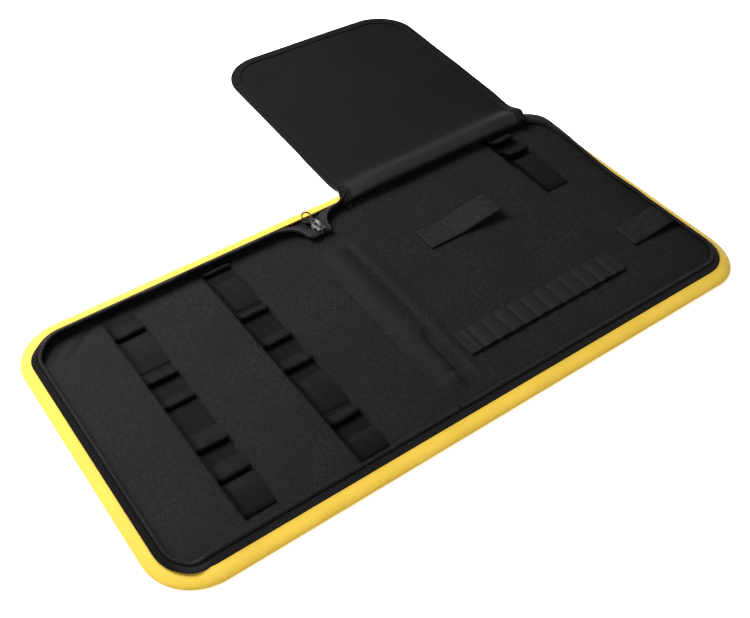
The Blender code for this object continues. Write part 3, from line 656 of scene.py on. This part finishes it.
def outline(share):
    """The seam's rounded rectangle, grown outwards by a share of each side's rim, starting on the right side."""
    points = []
    for side_x, side_y, start in ((1, 1, 0), (-1, 1, 90), (-1, -1, 180), (1, -1, 270)):
        reach_x = SEAM_RADIUS + share * RIM["right" if side_x > 0 else "left"]
        reach_y = SEAM_RADIUS + share * RIM["far" if side_y > 0 else "near"]
        for angle in np.radians(start + 90 * np.arange(CORNER_STEPS + 1) / CORNER_STEPS):
            points.append((side_x * CORNER_X + reach_x * math.cos(angle),
                           side_y * CORNER_Y + reach_y * math.sin(angle)))
        first = points[-1]
        along_x = start in (0, 180)
        other = (-side_x * CORNER_X, first[1]) if along_x else (first[0], -side_y * CORNER_Y)
        count = round(2 * (CORNER_X if along_x else CORNER_Y) / SIDE_STEP)
        points += [(first[0] + (other[0] - first[0]) * k / count, first[1] + (other[1] - first[1]) * k / count)
                   for k in range(1, count)]
    return np.array(points)


def build_cover(nylon):
    """The yellow cover: a flat back, and a soft rolled rim that turns up and in to the seam."""
    rows = []
    for share, height in COVER_PROFILE:
        flat = outline(share)
        flat = np.concatenate([flat, flat[:1]])
        ripple = COVER_RIPPLE * wander(lengths(flat), 0.11, 3) * (0.2 < height < 0.95)
        rows.append(np.column_stack([flat, height * SEAM_HEIGHT * (1 + ripple)]))
        rows[-1][-1] = rows[-1][0]
    piece = cloth("cover_shell", rows, COVER_WALL, offset=-1.0, closed=True, floor=True)
    finish(piece, nylon)
    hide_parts("outer_cover")


# Lining

def spine_height(x, y):
    along = (y + SEAM_HALF_DEPTH) / (2 * SEAM_HALF_DEPTH)
    fade = (1 - soft(y, 0.084, 0.108)) * soft(y, -0.134, -0.112)
    height = np.zeros_like(x)
    for far_x, near_x, left, right, rise in SPINE_RIDGES:
        away = x - (near_x + (far_x - near_x) * along)
        reach = np.where(away < 0, left, right * (0.36 + 0.64 * soft(y, -0.066, -0.040)))
        height += rise * fade * np.where(np.abs(away) < reach, 0.5 + 0.5 * np.cos(math.pi * away / reach), 0.0)
    return height


def crease_depth(x, y):
    """How deep the creases lie at each place, fading out towards their ends."""
    depth = np.zeros_like(x)
    for x0, y0, x1, y1, half, deep in CREASES:
        length = math.hypot(x1 - x0, y1 - y0)
        along = ((x - x0) * (x1 - x0) + (y - y0) * (y1 - y0)) / length
        away = ((y - y0) * (x1 - x0) - (x - x0) * (y1 - y0)) / length
        ends = soft(along, -0.004, 0.2 * length) * (1 - soft(along, 0.8 * length, length + 0.004))
        depth += deep * ends * np.exp(-(away / (0.6 * half)) ** 2)
    return depth


def lining_height(x, y):
    """The lining's top, with the ridges of the spine, faint hollows and a few drawn wrinkles."""
    hollow = (np.sin(x * 41 + 1.3 * np.sin(y * 23)) * np.sin(y * 37 + 1.1 * np.sin(x * 19 + 2)) + 1) / 2
    fine = (np.sin((x * 0.8 + y * 0.6) * 118 + 2.2 * np.sin(y * 31)) + 1) / 2
    height = -0.00042 * hollow - 0.00010 * fine
    near_spine = soft(x, -0.075, -0.045) * (1 - soft(x, 0.03, 0.06))
    pucker = np.sin((y + 0.15) * 210 + 6 * np.sin(x * 40)) * (1 - soft(y, -0.150, -0.118)) * near_spine
    height += 0.0004 * (pucker - 1) * near_spine * (1 - soft(y, -0.150, -0.118))
    return LINING_TOP + spine_height(x, y) + height - crease_depth(x, y)


def build_lining(fabric):
    """One cloth over both halves, draped over the folded spine."""
    reach = SEAM_RADIUS + 0.0012
    turns = np.radians(np.linspace(0, 90, 15))
    corner = np.stack([CORNER_X + reach * np.cos(turns), CORNER_Y + reach * np.sin(turns)], axis=1)
    middle = np.linspace(-CORNER_X, CORNER_X, LINING_COLUMNS)[1:-1]
    columns = np.concatenate([corner * (-1, 1), np.stack([middle, np.full_like(middle, CORNER_Y + reach)], axis=1),
                              corner[::-1]])
    x = np.repeat(columns[:, :1], LINING_ROWS, axis=1)
    y = columns[:, 1:] * np.linspace(1, -1, LINING_ROWS)[None, :]
    piece = cloth("lining_cloth", np.stack([x, y, lining_height(x, y)], axis=2), LINING_WALL, offset=-1.0)
    finish(piece, fabric)
    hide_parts("lining")


# Zip

def tape_section(x, y, out, lean):
    """Mid points of the tape's section: out points away from the case, lean is 0 in and 1 out."""
    bulge = soft(-out[0], 0.0, 0.6) * (1.0 if out[1] < 0.1 else 1 - soft(out[1], 0.1, 1.0))
    reach = TAPE_REACH + (TAPE_BULGE_REACH - TAPE_REACH) * bulge
    section = [(TAPE_TUCK, TAPE_ROOT), (0.0, TAPE_ROOT),
               (TAPE_BULGE * bulge - TAPE_TURN_OUT, TAPE_ROOT + TAPE_TURN_UP + TAPE_BULGE_RISE * bulge)]
    for first, last in zip(LEAN_IN, LEAN_OUT):
        angle = math.radians(first + (last - first) * lean - TAPE_BULGE_LEAN * bulge)
        grow, height = section[-1]
        section.append((grow - math.cos(angle) * reach / 2, height + math.sin(angle) * reach / 2))
    return [(x + out[0] * grow, y + out[1] * grow, height) for grow, height in section]


def approach_sections(side, length, lean):
    """Sections of the tape from the slider's mouth to where it runs along the wall."""
    wall = tape_section(0.0, SEAM_HALF_DEPTH, (0, 1), lean)[-1]
    mouth = SEAM_HALF_DEPTH - SLIDER_Y + SLIDER_LENGTH / 2
    sections = []
    for tip_along, tip_inset, tip_rise, root_along, root_inset, root_rise in APPROACH:
        tip = np.array((SLIDER_X + side * (TIP_OFF_CENTRE + tip_along * length),
                        SEAM_HALF_DEPTH - tip_inset * mouth,
                        TIP_AT_SLIDER + tip_rise * (wall[2] - TIP_AT_SLIDER)))
        tip[1] += (wall[1] - tip[1]) * soft(tip_rise, 0.3, 1.1) * lean
        root = np.array((SLIDER_X + side * (TIP_OFF_CENTRE + root_along * length),
                         SEAM_HALF_DEPTH - root_inset * mouth, TAPE_ROOT + root_rise * (TIP_AT_SLIDER - TAPE_ROOT)))
        sections.append([tuple(root + (tip - root) * share) for share in SECTION_SHARES])
    return sections


def corner_sections(side_x, side_y, leans, clockwise):
    sections = []
    for step in reversed(range(9)) if clockwise else range(9):
        turn = 90 * step / 8
        out = (side_x * math.cos(math.radians(turn)), side_y * math.sin(math.radians(turn)))
        lean = between(leans, 90 - turn) if leans else 0.0
        sections.append(tape_section(side_x * CORNER_X + SEAM_RADIUS * out[0],
                                     side_y * CORNER_Y + SEAM_RADIUS * out[1], out, lean))
    return sections


def side_sections(start, end, out, lean=0.0, step=0.0075, seed=0):
    """Sections along a straight side, between its ends, with the slight wander of a sewn tape."""
    start, end = np.array(start), np.array(end)
    count = max(2, round(float(np.linalg.norm(end - start)) / step))
    places = np.arange(1, count) / count
    sway = wander(places * float(np.linalg.norm(end - start)), 0.07, seed) * 0.045
    return [tape_section(*(start + (end - start) * place), out, lean + s * math.sin(math.pi * place) ** 0.5)
            for place, s in zip(places, sway)]


def left_sections():
    wall = (SLIDER_X - APPROACH_LEFT, SEAM_HALF_DEPTH)
    return [
        *approach_sections(-1, APPROACH_LEFT, 0.0),
        tape_section(*wall, (0, 1), 0.0),
        *side_sections(wall, (-CORNER_X, SEAM_HALF_DEPTH), (0, 1), seed=1),
        *corner_sections(-1, 1, None, True),
        *side_sections((-SEAM_HALF_LENGTH, CORNER_Y), (-SEAM_HALF_LENGTH, -CORNER_Y), (-1, 0), seed=2),
        *corner_sections(-1, -1, None, False),
        *side_sections((-CORNER_X, -SEAM_HALF_DEPTH), (ZIP_MEET_NEAR - 0.0006, -SEAM_HALF_DEPTH), (0, -1), seed=3),
        tape_section(ZIP_MEET_NEAR - 0.0006, -SEAM_HALF_DEPTH, (0, -1), 0.0),
    ]


def right_sections():
    turned = SLIDER_X + APPROACH_RIGHT
    top = SEAM_HALF_DEPTH
    return [
        *approach_sections(1, APPROACH_RIGHT, 0.0),
        *(tape_section(turned * far, top, (0, 1), lean) for far, lean in FLAP_START_LEAN),
        *side_sections((turned * FLAP_START_LEAN[-1][0], top), (CORNER_X, top), (0, 1), 1.0),
        *corner_sections(1, 1, CORNER_LEAN, True),
        *(tape_section(SEAM_HALF_LENGTH, y, (1, 0), lean) for y, lean in SIDE_LEAN),
        *side_sections((SEAM_HALF_LENGTH, 0.020), (SEAM_HALF_LENGTH, -CORNER_Y), (1, 0), seed=5),
        *corner_sections(1, -1, None, False),
        *side_sections((CORNER_X, -top), (ZIP_MEET_NEAR + 0.0006, -top), (0, -1), seed=6),
        tape_section(ZIP_MEET_NEAR + 0.0006, -top, (0, -1), 0.0),
    ]


def build_tape(side, sections, knit, nylon, cord):
    """One zip tape, its ribbed edge cord and the coil of teeth along its free edge."""
    name = "left" if side < 0 else "right"
    rows = refined(refined(sections, 2), 3, axis=1)
    piece = cloth(f"{name}_tape", rows, TAPE_WALL)
    finish(piece, knit)
    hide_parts(f"zip_tape_{name}")
    edge = rows[:, -1]
    inwards = rows[:, -1] - rows[:, -3]
    inwards /= np.linalg.norm(inwards, axis=1)[:, None]
    along = np.gradient(edge, axis=0) * -side
    ups = np.cross(along, inwards)
    ups /= np.linalg.norm(ups, axis=1)[:, None]
    run = lengths(edge)
    placements = []
    for place in np.arange(TOOTH_PITCH, run[-1] - TOOTH_PITCH / 2, TOOTH_PITCH):
        up, across, way = (at(table, run, place).normalized() for table in (ups, inwards, along))
        centre = at(edge, run, place) + up * (TAPE_WALL / 2 + TOOTH_LIFT) - across * TOOTH_BACK
        placements.append(placing(centre, across + way * TOOTH_SLANT, up))
    teeth = repeated(f"{name}_teeth", bar(TOOTH_LENGTH, TOOTH_RADIUS, cuts=5, bow=0.0004), placements)
    finish(teeth, nylon)
    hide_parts(f"zip_coil_{name}")
    wide, high = CORD_HALF
    rings = []
    for point, up, across in zip(*(map(Vector, table) for table in (edge, ups, inwards))):
        centre = point + up * (TAPE_WALL / 2 + high) - across * CORD_BACK
        rings.append([centre + across * wide * math.cos(a) + up * high * math.sin(a)
                      for a in np.linspace(0, 2 * math.pi, 9)[:-1]])
    finish(tube(f"{name}_chain_core", rings), cord)


def tube(name, rings):
    """A closed body through rings of points."""
    count = len(rings[0])
    points = [tuple(map(float, point)) for ring in rings for point in ring]
    faces = [(r * count + c, r * count + (c + 1) % count, (r + 1) * count + (c + 1) % count, (r + 1) * count + c)
             for r in range(len(rings) - 1) for c in range(count)]
    faces += [tuple(reversed(range(count))), tuple(range(len(points) - count, len(points)))]
    piece = new_piece(name, points, faces)
    edit(piece, lambda body: bmesh.ops.recalc_face_normals(body, faces=body.faces[:]))
    return piece


# Slider and pull

def rounded_plate(name, centre, size, bevel, waist=0.0):
    """A plate with rounded edges, drawn in at the middle of its length."""
    deselect()
    bpy.ops.mesh.primitive_cube_add(size=1, location=(0, 0, 0))
    piece = bpy.context.object
    piece.name = name
    bpy.ops.object.mode_set(mode="EDIT")
    bpy.ops.mesh.select_all(action="SELECT")
    bpy.ops.mesh.subdivide(number_cuts=5)
    bpy.ops.object.mode_set(mode="OBJECT")
    for v in piece.data.vertices:
        away = abs(v.co.y) * 2
        v.co.x *= size[0] * (1 - waist * (1 - away ** 2))
        round_end = 1 - 0.16 * (abs(v.co.x) / (size[0] / 2)) ** 2
        v.co.y *= size[1] * round_end
        v.co.z *= size[2]
        v.co += Vector(centre)
    modify(piece, "BEVEL", width=bevel, segments=2, limit_method="ANGLE", angle_limit=math.radians(50))
    return piece


def wire(name, path, radius, closed=False, sides=8, flat=1.0):
    """Wire bent along a path, round or flattened."""
    path = np.asarray(path, float)
    count = len(path)
    rings = []
    for index, point in enumerate(path):
        before = path[(index - 1) % count] if closed or index else path[0]
        after = path[(index + 1) % count] if closed or index < count - 1 else path[-1]
        along = Vector(after - before).normalized()
        side = Vector((1, 0, 0)) if abs(along.x) < 0.8 else Vector((0, 1, 0))
        side = (side - along * side.dot(along)).normalized()
        other = along.cross(side)
        rings.append([Vector(point) + side * radius * math.cos(a) + other * radius * flat * math.sin(a)
                      for a in np.linspace(0, 2 * math.pi, sides + 1)[:-1]])
    return tube(name, rings + rings[:1] if closed else rings)


def unite(name, pieces):
    """One closed body out of pieces that overlap."""
    for other in pieces[1:]:
        modify(pieces[0], "BOOLEAN", operation="UNION", object=other, solver="EXACT")
        bpy.data.objects.remove(other)
    pieces[0].name = name
    return pieces[0]


def build_slider(metal):
    """The slider: two waisted plates with turned-in flanges, the post between the coils and the pull's bridge."""
    plate = (SLIDER_WIDTH, SLIDER_LENGTH, SLIDER_PLATE)
    bottom, top = (rounded_plate(name, (SLIDER_X, SLIDER_Y, base + SLIDER_PLATE / 2), plate, 0.0003, SLIDER_WAIST)
                   for name, base in (("bottom_plate", SLIDER_BASE), ("top_plate", CHANNEL_TOP)))
    post = rounded_plate("post", (SLIDER_X, SLIDER_Y - POST_NEAR, (CHANNEL_BOTTOM + CHANNEL_TOP) / 2), POST, 0.0002)
    arch = [(SLIDER_X, SLIDER_Y - BRIDGE_HALF * math.cos(a) * (1.0 if abs(math.cos(a)) > 0.5 else 0.96),
             SLIDER_TOP - BRIDGE_SUNK + BRIDGE_RISE * math.sin(a) ** 0.50)
            for a in np.linspace(0.02, math.pi - 0.02, 25)]
    bridge = wire("bridge", arch, BRIDGE_WIRE, sides=12, flat=BRIDGE_FLAT)
    flanges = [rounded_plate("flange", (SLIDER_X + side * (SLIDER_WIDTH - FLANGE[0]) / 2, SLIDER_Y + FLANGE_FAR,
                                        height), FLANGE, 0.0002)
               for side in (-1, 1) for height in (SLIDER_BASE + FLANGE_IN, SLIDER_TOP - FLANGE_IN)]
    piece = unite("zip_slider", [bottom, post, top, bridge, *flanges])
    finish(piece, metal, angle=40)
    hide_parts("slider_body")


def build_pull(metal):
    """The pull: a bent wire head in the bridge, a short flat stem and a ring."""
    corners = [Vector((x * HEAD_HALF, y * HEAD_LENGTH, 0.0)) for x, y in
               ((-1, 0), (1, 0), (1, 0.62), (0.5, 1), (-0.5, 1), (-1, 0.62))]
    path = []
    for before, here, after in zip(corners[-1:] + corners, corners, corners[1:] + corners[:1]):
        start, end = (here + (other - here).normalized() * PULL_BEND for other in (before, after))
        path += [start.lerp(here, share).lerp(here.lerp(end, share), share)
                 for share in (0.0, 0.25, 0.5, 0.75, 1.0)]
    head = wire("pull_head", path, PULL_WIRE, closed=True)
    edit(head, lambda body: bmesh.ops.remove_doubles(body, verts=body.verts[:], dist=1e-6))
    edit(head, lambda body: (bmesh.ops.delete(
        body, geom=[f for f in body.faces if len(f.verts) > 4], context="FACES_ONLY"),
        bmesh.ops.recalc_face_normals(body, faces=body.faces[:])))
    wide, long, thick = STEM
    stem = rounded_plate("stem", (0, HEAD_LENGTH + long / 2, 0), (wide, long + 0.0012, thick), 0.0003)
    deselect()
    bpy.ops.mesh.primitive_torus_add(major_radius=RING_RADIUS, minor_radius=PULL_WIRE, major_segments=48,
                                     minor_segments=12, location=(0, RING_RADIUS, 0))
    ring = bpy.context.object
    bpy.ops.object.transform_apply(location=True, rotation=True, scale=True)
    ring.data.transform(Matrix.Translation((0, HEAD_LENGTH + long, 0))
                        @ Matrix.Rotation(math.radians(RING_TILT), 4, "X"))
    piece = unite("pull_tab", [head, stem, ring])
    piece.data.transform(Matrix.Translation((SLIDER_X, SLIDER_Y + HINGE_FAR, SLIDER_TOP + HINGE_UP))
                         @ Matrix.Rotation(math.radians(PULL_YAW), 4, "Z")
                         @ Matrix.Rotation(math.radians(PULL_DROP), 4, "X"))
    finish(piece, metal, body="pull", angle=40)
    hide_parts("zip_pull")


def build_tail(knit):
    """The sewn end of the closed chain, which runs down from the slider to the seam."""
    top = CHANNEL_BOTTOM + 0.0019
    foot = LINING_TOP + TABLE_GAP + 0.0005
    rows = []
    for share, rise, wide in TAIL_SHAPE:
        y = SLIDER_Y + 0.0018 + share * TAIL_LENGTH
        rows.append([(SLIDER_X - TAIL_WIDTH * wide * k, y, foot + (top - foot) * rise + 0.0005 * (0.25 - k * k))
                     for k in np.linspace(-0.5, 0.5, 9)])
    piece = cloth("chain_tail", refined(rows, 4), 0.0010)
    finish(piece, knit)
    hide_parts("zip_tail")


# Elastic bands

def bay_profile(length, crest, rise, folds):
    """One bay of a band as (run, height), without its last point."""
    if rise == 0:
        return [(0.0, 0.0)]
    top = crest * length
    if not folds:
        return [(0.0, 0.0), (0.0016, 0.30 * rise), (0.3 * top, 0.62 * rise), (0.7 * top, 0.92 * rise), (top, rise),
                (top + 0.30 * (length - top), 0.84 * rise), (top + 0.60 * (length - top), 0.56 * rise),
                (length - 0.0022, 0.30 * rise)]
    nose = min(0.0015, 0.42 * rise)
    start = top - nose
    points = [(0.0, 0.0), (0.0016, 0.03 * rise), (0.30 * start, 0.06 * rise), (0.37 * start, 0.34 * rise),
              (0.46 * start, 0.55 * rise), (0.66 * start, 0.80 * rise), (0.86 * start, 0.975 * rise)]
    for angle in (90, 60, 30, 0, -30, -60):
        points.append((start + nose * math.cos(math.radians(angle)),
                       rise - nose + nose * math.sin(math.radians(angle))))
    tuck = min(0.0030, 0.3 * start)
    points += [(top - nose - 0.5 * tuck, 0.22 * rise), (top - nose - tuck, 0.02 * rise)]
    if length - top > 0.004:
        points.append((top + 0.0004, 0.03 * rise))
    return points


def band_profile(bays, unit, rise):
    points, seams, run = [], [0.0], 0.0
    for share, crest, height, folds in bays:
        length = share * unit
        points += [(run + x, z) for x, z in bay_profile(length, crest, height * rise, folds)]
        run += length
        seams.append(run)
    return np.array(points + [(run, 0.0)]), seams


def build_band(name, node, bays, elastic, seed, hems):
    """A pleated elastic band that runs from the far edge towards the near edge."""
    low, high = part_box(node)
    x_mid, start = (low.x + high.x) / 2, high.y
    rise = (high.z - BAND_LEVEL - ELASTIC_WALL / 2) * BAND_FULLNESS
    profile, seams = band_profile(bays, BAY, rise)
    profile = evenly(refined(profile, 3), 0.0008)
    swings = np.random.default_rng(seed).uniform(-BAND_SKEW, BAND_SKEW, len(seams))
    rows = []
    for (run, height), skew in zip(profile, np.interp(profile[:, 0], seams, swings)):
        share = max(height, 0.0) / rise
        row = []
        for k in np.linspace(-0.5, 0.5, 15):
            lift = height * (1 + 0.05 * math.sin(9 * k + run * 60 + seed)) + 0.00012 * math.sin(k * 20 + run * 90)
            edge = 0.00035 * share * (abs(k) * 2) ** 3 - EDGE_LIFT * soft(k, 0.30, 0.5)
            row.append((x_mid - k * (BAND_WIDTH + 0.0006 * share), start - run + skew * 2 * k * share,
                        BAND_LEVEL + max(lift - edge, 0.0)))
        rows.append(row)
    piece = cloth(name, rows, 0.0008)
    finish(piece, elastic)
    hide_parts(node)
    for y in hems:
        stitch_line([(x_mid - BAND_HEM, y, BAND_TOP), (x_mid + BAND_HEM, y, BAND_TOP)])


def build_row(elastic):
    """The row of small loops: one elastic, sewn down at even steps."""
    low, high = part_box("small_loop_row")
    bay = (high.x - low.x) / ROW_BAYS
    y_mid = (low.y + high.y) / 2
    rows = []
    for x in np.linspace(0, ROW_BAYS, ROW_BAYS * 14 + 1):
        share = x - math.floor(x)
        rise = ROW_RISE * (1 - abs(2 * share - 1) ** 2.6) * (1 + 0.12 * math.sin(5.1 * math.floor(x) + 0.7))
        if x < 0.62 or x > ROW_BAYS - 0.62:
            rise *= 0.25
        rows.append([(low.x + x * bay, y_mid - k * BAND_WIDTH, BAND_LEVEL + rise * (1 - 0.25 * (2 * k) ** 4))
                     for k in np.linspace(-0.5, 0.5, 13)])
    piece = cloth("loop_row", rows, 0.0009)
    finish(piece, elastic)
    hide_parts("small_loop_row")
    for seam in [*range(ROW_BAYS + 1), 0.55, ROW_BAYS - 0.55]:
        x = min(max(low.x + seam * bay, low.x + 0.0012), high.x - 0.0012)
        stitch_line([(x, y_mid - BAND_HEM, BAND_TOP), (x, y_mid + BAND_HEM, BAND_TOP)], pitch=0.0027)


def build_strap(name, node, profile, webbing, short=0.0, widen=0.0):
    """A strap of doubled webbing, from its left end on. Gives back the piece and where its left end is."""
    low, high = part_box(node)
    y = (low.y + high.y) / 2
    length, rise = high.x - low.x - short, high.z - STRAP_LEVEL - STRAP_WALL / 2
    points = evenly(refined([(share * length, height * rise) for share, height in profile], 6), 0.0012)
    rows = [[(low.x + run, y - k * BAND_WIDTH * (1 + widen * height / rise),
              STRAP_LEVEL + max(height, 0.0) + 0.0006 * (height / rise) * (0.25 - k * k))
             for k in np.linspace(-0.5, 0.5, 13)] for run, height in points]
    piece = cloth(name, rows, STRAP_WALL)
    modify(piece, "BEVEL", width=0.0005, segments=2, limit_method="ANGLE", angle_limit=math.radians(60))
    finish(piece, webbing)
    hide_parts(node)
    return piece, low.x, y


def build_straps(webbing):
    """Two straps of doubled webbing, each sewn down at its left end."""
    level = STRAP_LEVEL + STRAP_WALL / 2
    piece, x, y = build_strap("tool_strap", "upper_strap", UPPER_STRAP, webbing, short=0.0008, widen=0.06)
    (x0, y0), (x1, y1) = (x + 0.002, y - 0.0135), (x + 0.035, y + 0.0135)
    corners = [(x0, y0, level), (x1, y0, level), (x1, y1, level), (x0, y1, level), (x0, y0, level)]
    for first, last in zip(corners, corners[1:]):
        stitch_line([first, last], shade="light")
    piece, x, y = build_strap("end_strap", "side_strap", SIDE_STRAP, webbing)
    for seam in (x + 0.0020, x + 0.0045):
        stitch_line([(seam, y - 0.0140, level), (seam, y + 0.0140, level)])


# Flap

def flap_point(across, along, trim, height):
    """Where a point of the flap lies, by its place across and along the cloth."""
    share = along / FOLD_REACH
    left, right = (soft(side * across, 0.0, FLAP_WIDTH / 2) for side in (-1, 1))
    spread = FLAP_SPREAD * left * (1 - 0.7 * soft(share, 0.1, 1.4))
    tuck = FLAP_TUCK * left * soft(share, -0.02, 0.16) * (1 - soft(share, 0.35, 0.95))
    x = (FLAP_CENTRE + across - spread + tuck - trim * right
         + FLAP_DRIFT * soft(share, 0.1, 0.9) + FLAP_TURN * max(along, 0.0))
    y = FLAP_START_Y + along - FLAP_TURN * across * soft(share, 0.2, 1.0)
    return (x, y, height)


def fold_sag(across):
    """The fold sags towards its two ends."""
    left, right = ((1 - end) * (1 - soft(FLAP_WIDTH / 2 + side * across, 0.0, FOLD_END_REACH))
                   for end, side in zip(FOLD_ENDS, (1, -1)))
    return 1 - left - right


def flap_rows():
    """The flap's mid surface from its sewn edge to its far edge."""
    flat = FLAP_WIDTH / 2 - FLAP_RADIUS
    turns = np.radians(np.linspace(0, 90, 15))
    corner = [(flat + FLAP_RADIUS * math.sin(t), FLAP_RADIUS * (1 - math.cos(t))) for t in turns]
    straight = [(x, 0.0) for x in np.linspace(-flat, flat, 31)[1:-1]]
    columns = [(-x, back) for x, back in reversed(corner)] + straight + corner
    rise = FLAP_CREST - FLAP_LEVEL
    fold = refined([(reach * FOLD_REACH, FLAP_LEVEL + height * rise, trim) for reach, height, trim in FLAP_FOLD], 4)
    rows = [[flap_point(across, along, trim, FLAP_LEVEL + max(height - FLAP_LEVEL, 0.0) * fold_sag(across))
             for across, _ in columns] for along, height, trim in fold]
    for share in np.linspace(0, 1, 45)[1:]:
        rows.append([flap_point(across, FOLD_REACH + share * (FLAP_LENGTH - back - FOLD_REACH), 0.0, FLAP_LEVEL)
                     for across, back in columns])
    rows = np.array(rows)
    x, y = rows[:, :, 0], rows[:, :, 1]
    inner = soft(y, 0.20, 0.26)
    rows[:, :, 2] += 0.0004 * inner * (1 + np.sin(x * 37 + 1.2 * np.sin(y * 21)) * np.sin(y * 31 + 1))
    return rows


def build_flap(coated, binding):
    """The protective flap, and the grosgrain that binds its three free edges."""
    rows = flap_rows()
    piece = cloth("flap_cloth", rows, FLAP_WALL)
    finish(piece, coated)
    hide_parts("flap_panel")
    last = rows[-1]
    ahead, behind = [*last[1:], last[-1]], [last[0], *last[:-1]]
    edge = [(row[0], row[0] - row[1]) for row in rows[3:-1]]
    edge += [(point, np.array((before[1] - after[1], after[0] - before[0], 0.0)))
             for point, before, after in zip(last, behind, ahead)]
    edge += [(row[-1], row[-1] - row[-2]) for row in rows[-2:2:-1]]
    sections, inner = [], []
    for index, (point, out) in enumerate(edge):
        before = edge[max(index - 2, 0)][0]
        after = edge[min(index + 2, len(edge) - 1)][0]
        along = Vector(after - before).normalized()
        up = Vector(out).normalized().cross(along).normalized()
        if point[2] - FLAP_LEVEL < 0.0012:
            up = Vector((0, 0, -1))
        out = along.cross(up).normalized()
        place = Vector(point)
        sections.append([tuple(place + out * away + up * lift * BINDING_OFF) for away, lift in BINDING_SHAPE])
        inner.append(tuple(place - out * (BINDING_WIDTH - 0.0018) - up * (BINDING_OFF + 0.00035)))
    piece = cloth("flap_edge", sections, 0.0006)
    finish(piece, binding)
    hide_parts("flap_binding")
    stitch_line(inner, pitch=0.0032)


def build_thread():
    """All the stitches that show, as one piece for each shade of thread."""
    for shade, low, high in (("light", "#202020", "#303030"), ("dark", "#0C0C0C", "#181818")):
        thread = make_thread(f"{shade}_polyester_thread", low, high)
        piece = repeated(f"{shade}_stitches", bar(0.0022, 0.00023, sides=5, flat=0.8, cuts=3, bow=0.0001),
                         STITCHES[shade])
        finish(piece, thread)


# Stage

def build_stage():
    deselect()
    bpy.ops.mesh.primitive_plane_add(size=8.0, location=(0, 0, 0))
    table = bpy.context.object
    table.name = "table"
    table.data.materials.append(make_table())


def add_light(name, place, size, energy, tint):
    data = bpy.data.lights.new(name, "AREA")
    data.shape = "RECTANGLE"
    data.size, data.size_y = size
    data.energy = energy
    data.color = tint
    light = bpy.data.objects.new(name, data)
    light.location = place
    light.rotation_euler = (-Vector(place)).to_track_quat("-Z", "Y").to_euler()
    bpy.context.scene.collection.objects.link(light)


def build_lights():
    world = bpy.data.worlds.new("soft_room")
    bpy.context.scene.world = world
    world.use_nodes = True
    room = world.node_tree.nodes["Background"].inputs
    room["Color"].default_value = (1, 1, 1, 1)
    room["Strength"].default_value = ROOM_LIGHT
    for name, light in LIGHTS.items():
        add_light(name, *light)
    bpy.context.scene.view_settings.view_transform = "Standard"


def build_camera():
    azimuth, height = math.radians(CAMERA_AZIMUTH), math.radians(CAMERA_HEIGHT)
    back = Vector((math.sin(azimuth) * math.cos(height), -math.cos(azimuth) * math.cos(height), math.sin(height)))
    right = Vector((math.cos(azimuth), math.sin(azimuth), 0))
    up = back.cross(right)
    roll = math.radians(CAMERA_ROLL)
    turned_right = right * math.cos(roll) + up * math.sin(roll)
    turned_up = up * math.cos(roll) - right * math.sin(roll)
    data = bpy.data.cameras.new("camera")
    data.lens = CAMERA_LENS
    data.sensor_width = 36.0
    camera = bpy.data.objects.new("camera", data)
    camera.matrix_world = (Matrix.Translation(CAMERA_AIM + back * CAMERA_DISTANCE)
                           @ Matrix((turned_right, turned_up, back)).transposed().to_4x4())
    bpy.context.scene.collection.objects.link(camera)
    bpy.context.scene.camera = camera


def main():
    build_camera()
    build_lights()
    build_stage()
    knit, nylon, webbing = make_tape_cloth(), make_tooth_nylon(), make_webbing()
    elastic = make_elastic("ribbed_black_elastic", "#070707", "#101010", 0.0030, 0.60)
    light_elastic = make_elastic("napped_black_elastic", "#0F0F0F", "#1C1C1B", 0.0014, 0.0)
    build_cover(make_cover_nylon())
    build_lining(make_lining_cloth())
    cord = make_core_cord()
    build_tape(-1, left_sections(), knit, nylon, cord)
    build_tape(1, right_sections(), knit, nylon, cord)
    # The slider and pull are the same dark zinc; the slider's paler tone paints the reflection on its top plate.
    build_slider(make_slider_metal("zinc_with_painted_reflection", "#4C4C4C", "#5E5E5E", 0.25))
    build_pull(make_slider_metal("blackened_zinc", "#241F1A", "#302A24", 0.7))
    build_tail(knit)
    build_band("loop_band_outer", "left_loop_band_1", LEFT_BAND_1, elastic, 1,
               (0.1364, 0.0575, 0.0251, -0.0206, -0.0601, -0.1314))
    build_band("loop_band_inner", "left_loop_band_2", LEFT_BAND_2, elastic, 2, (0.0755, -0.0796))
    build_band("loop_band_far", "far_loop_band", FAR_BAND, elastic, 3, (0.0390,))
    build_row(light_elastic)
    build_straps(webbing)
    build_flap(make_flap_cloth(), make_binding())
    build_thread()


main()
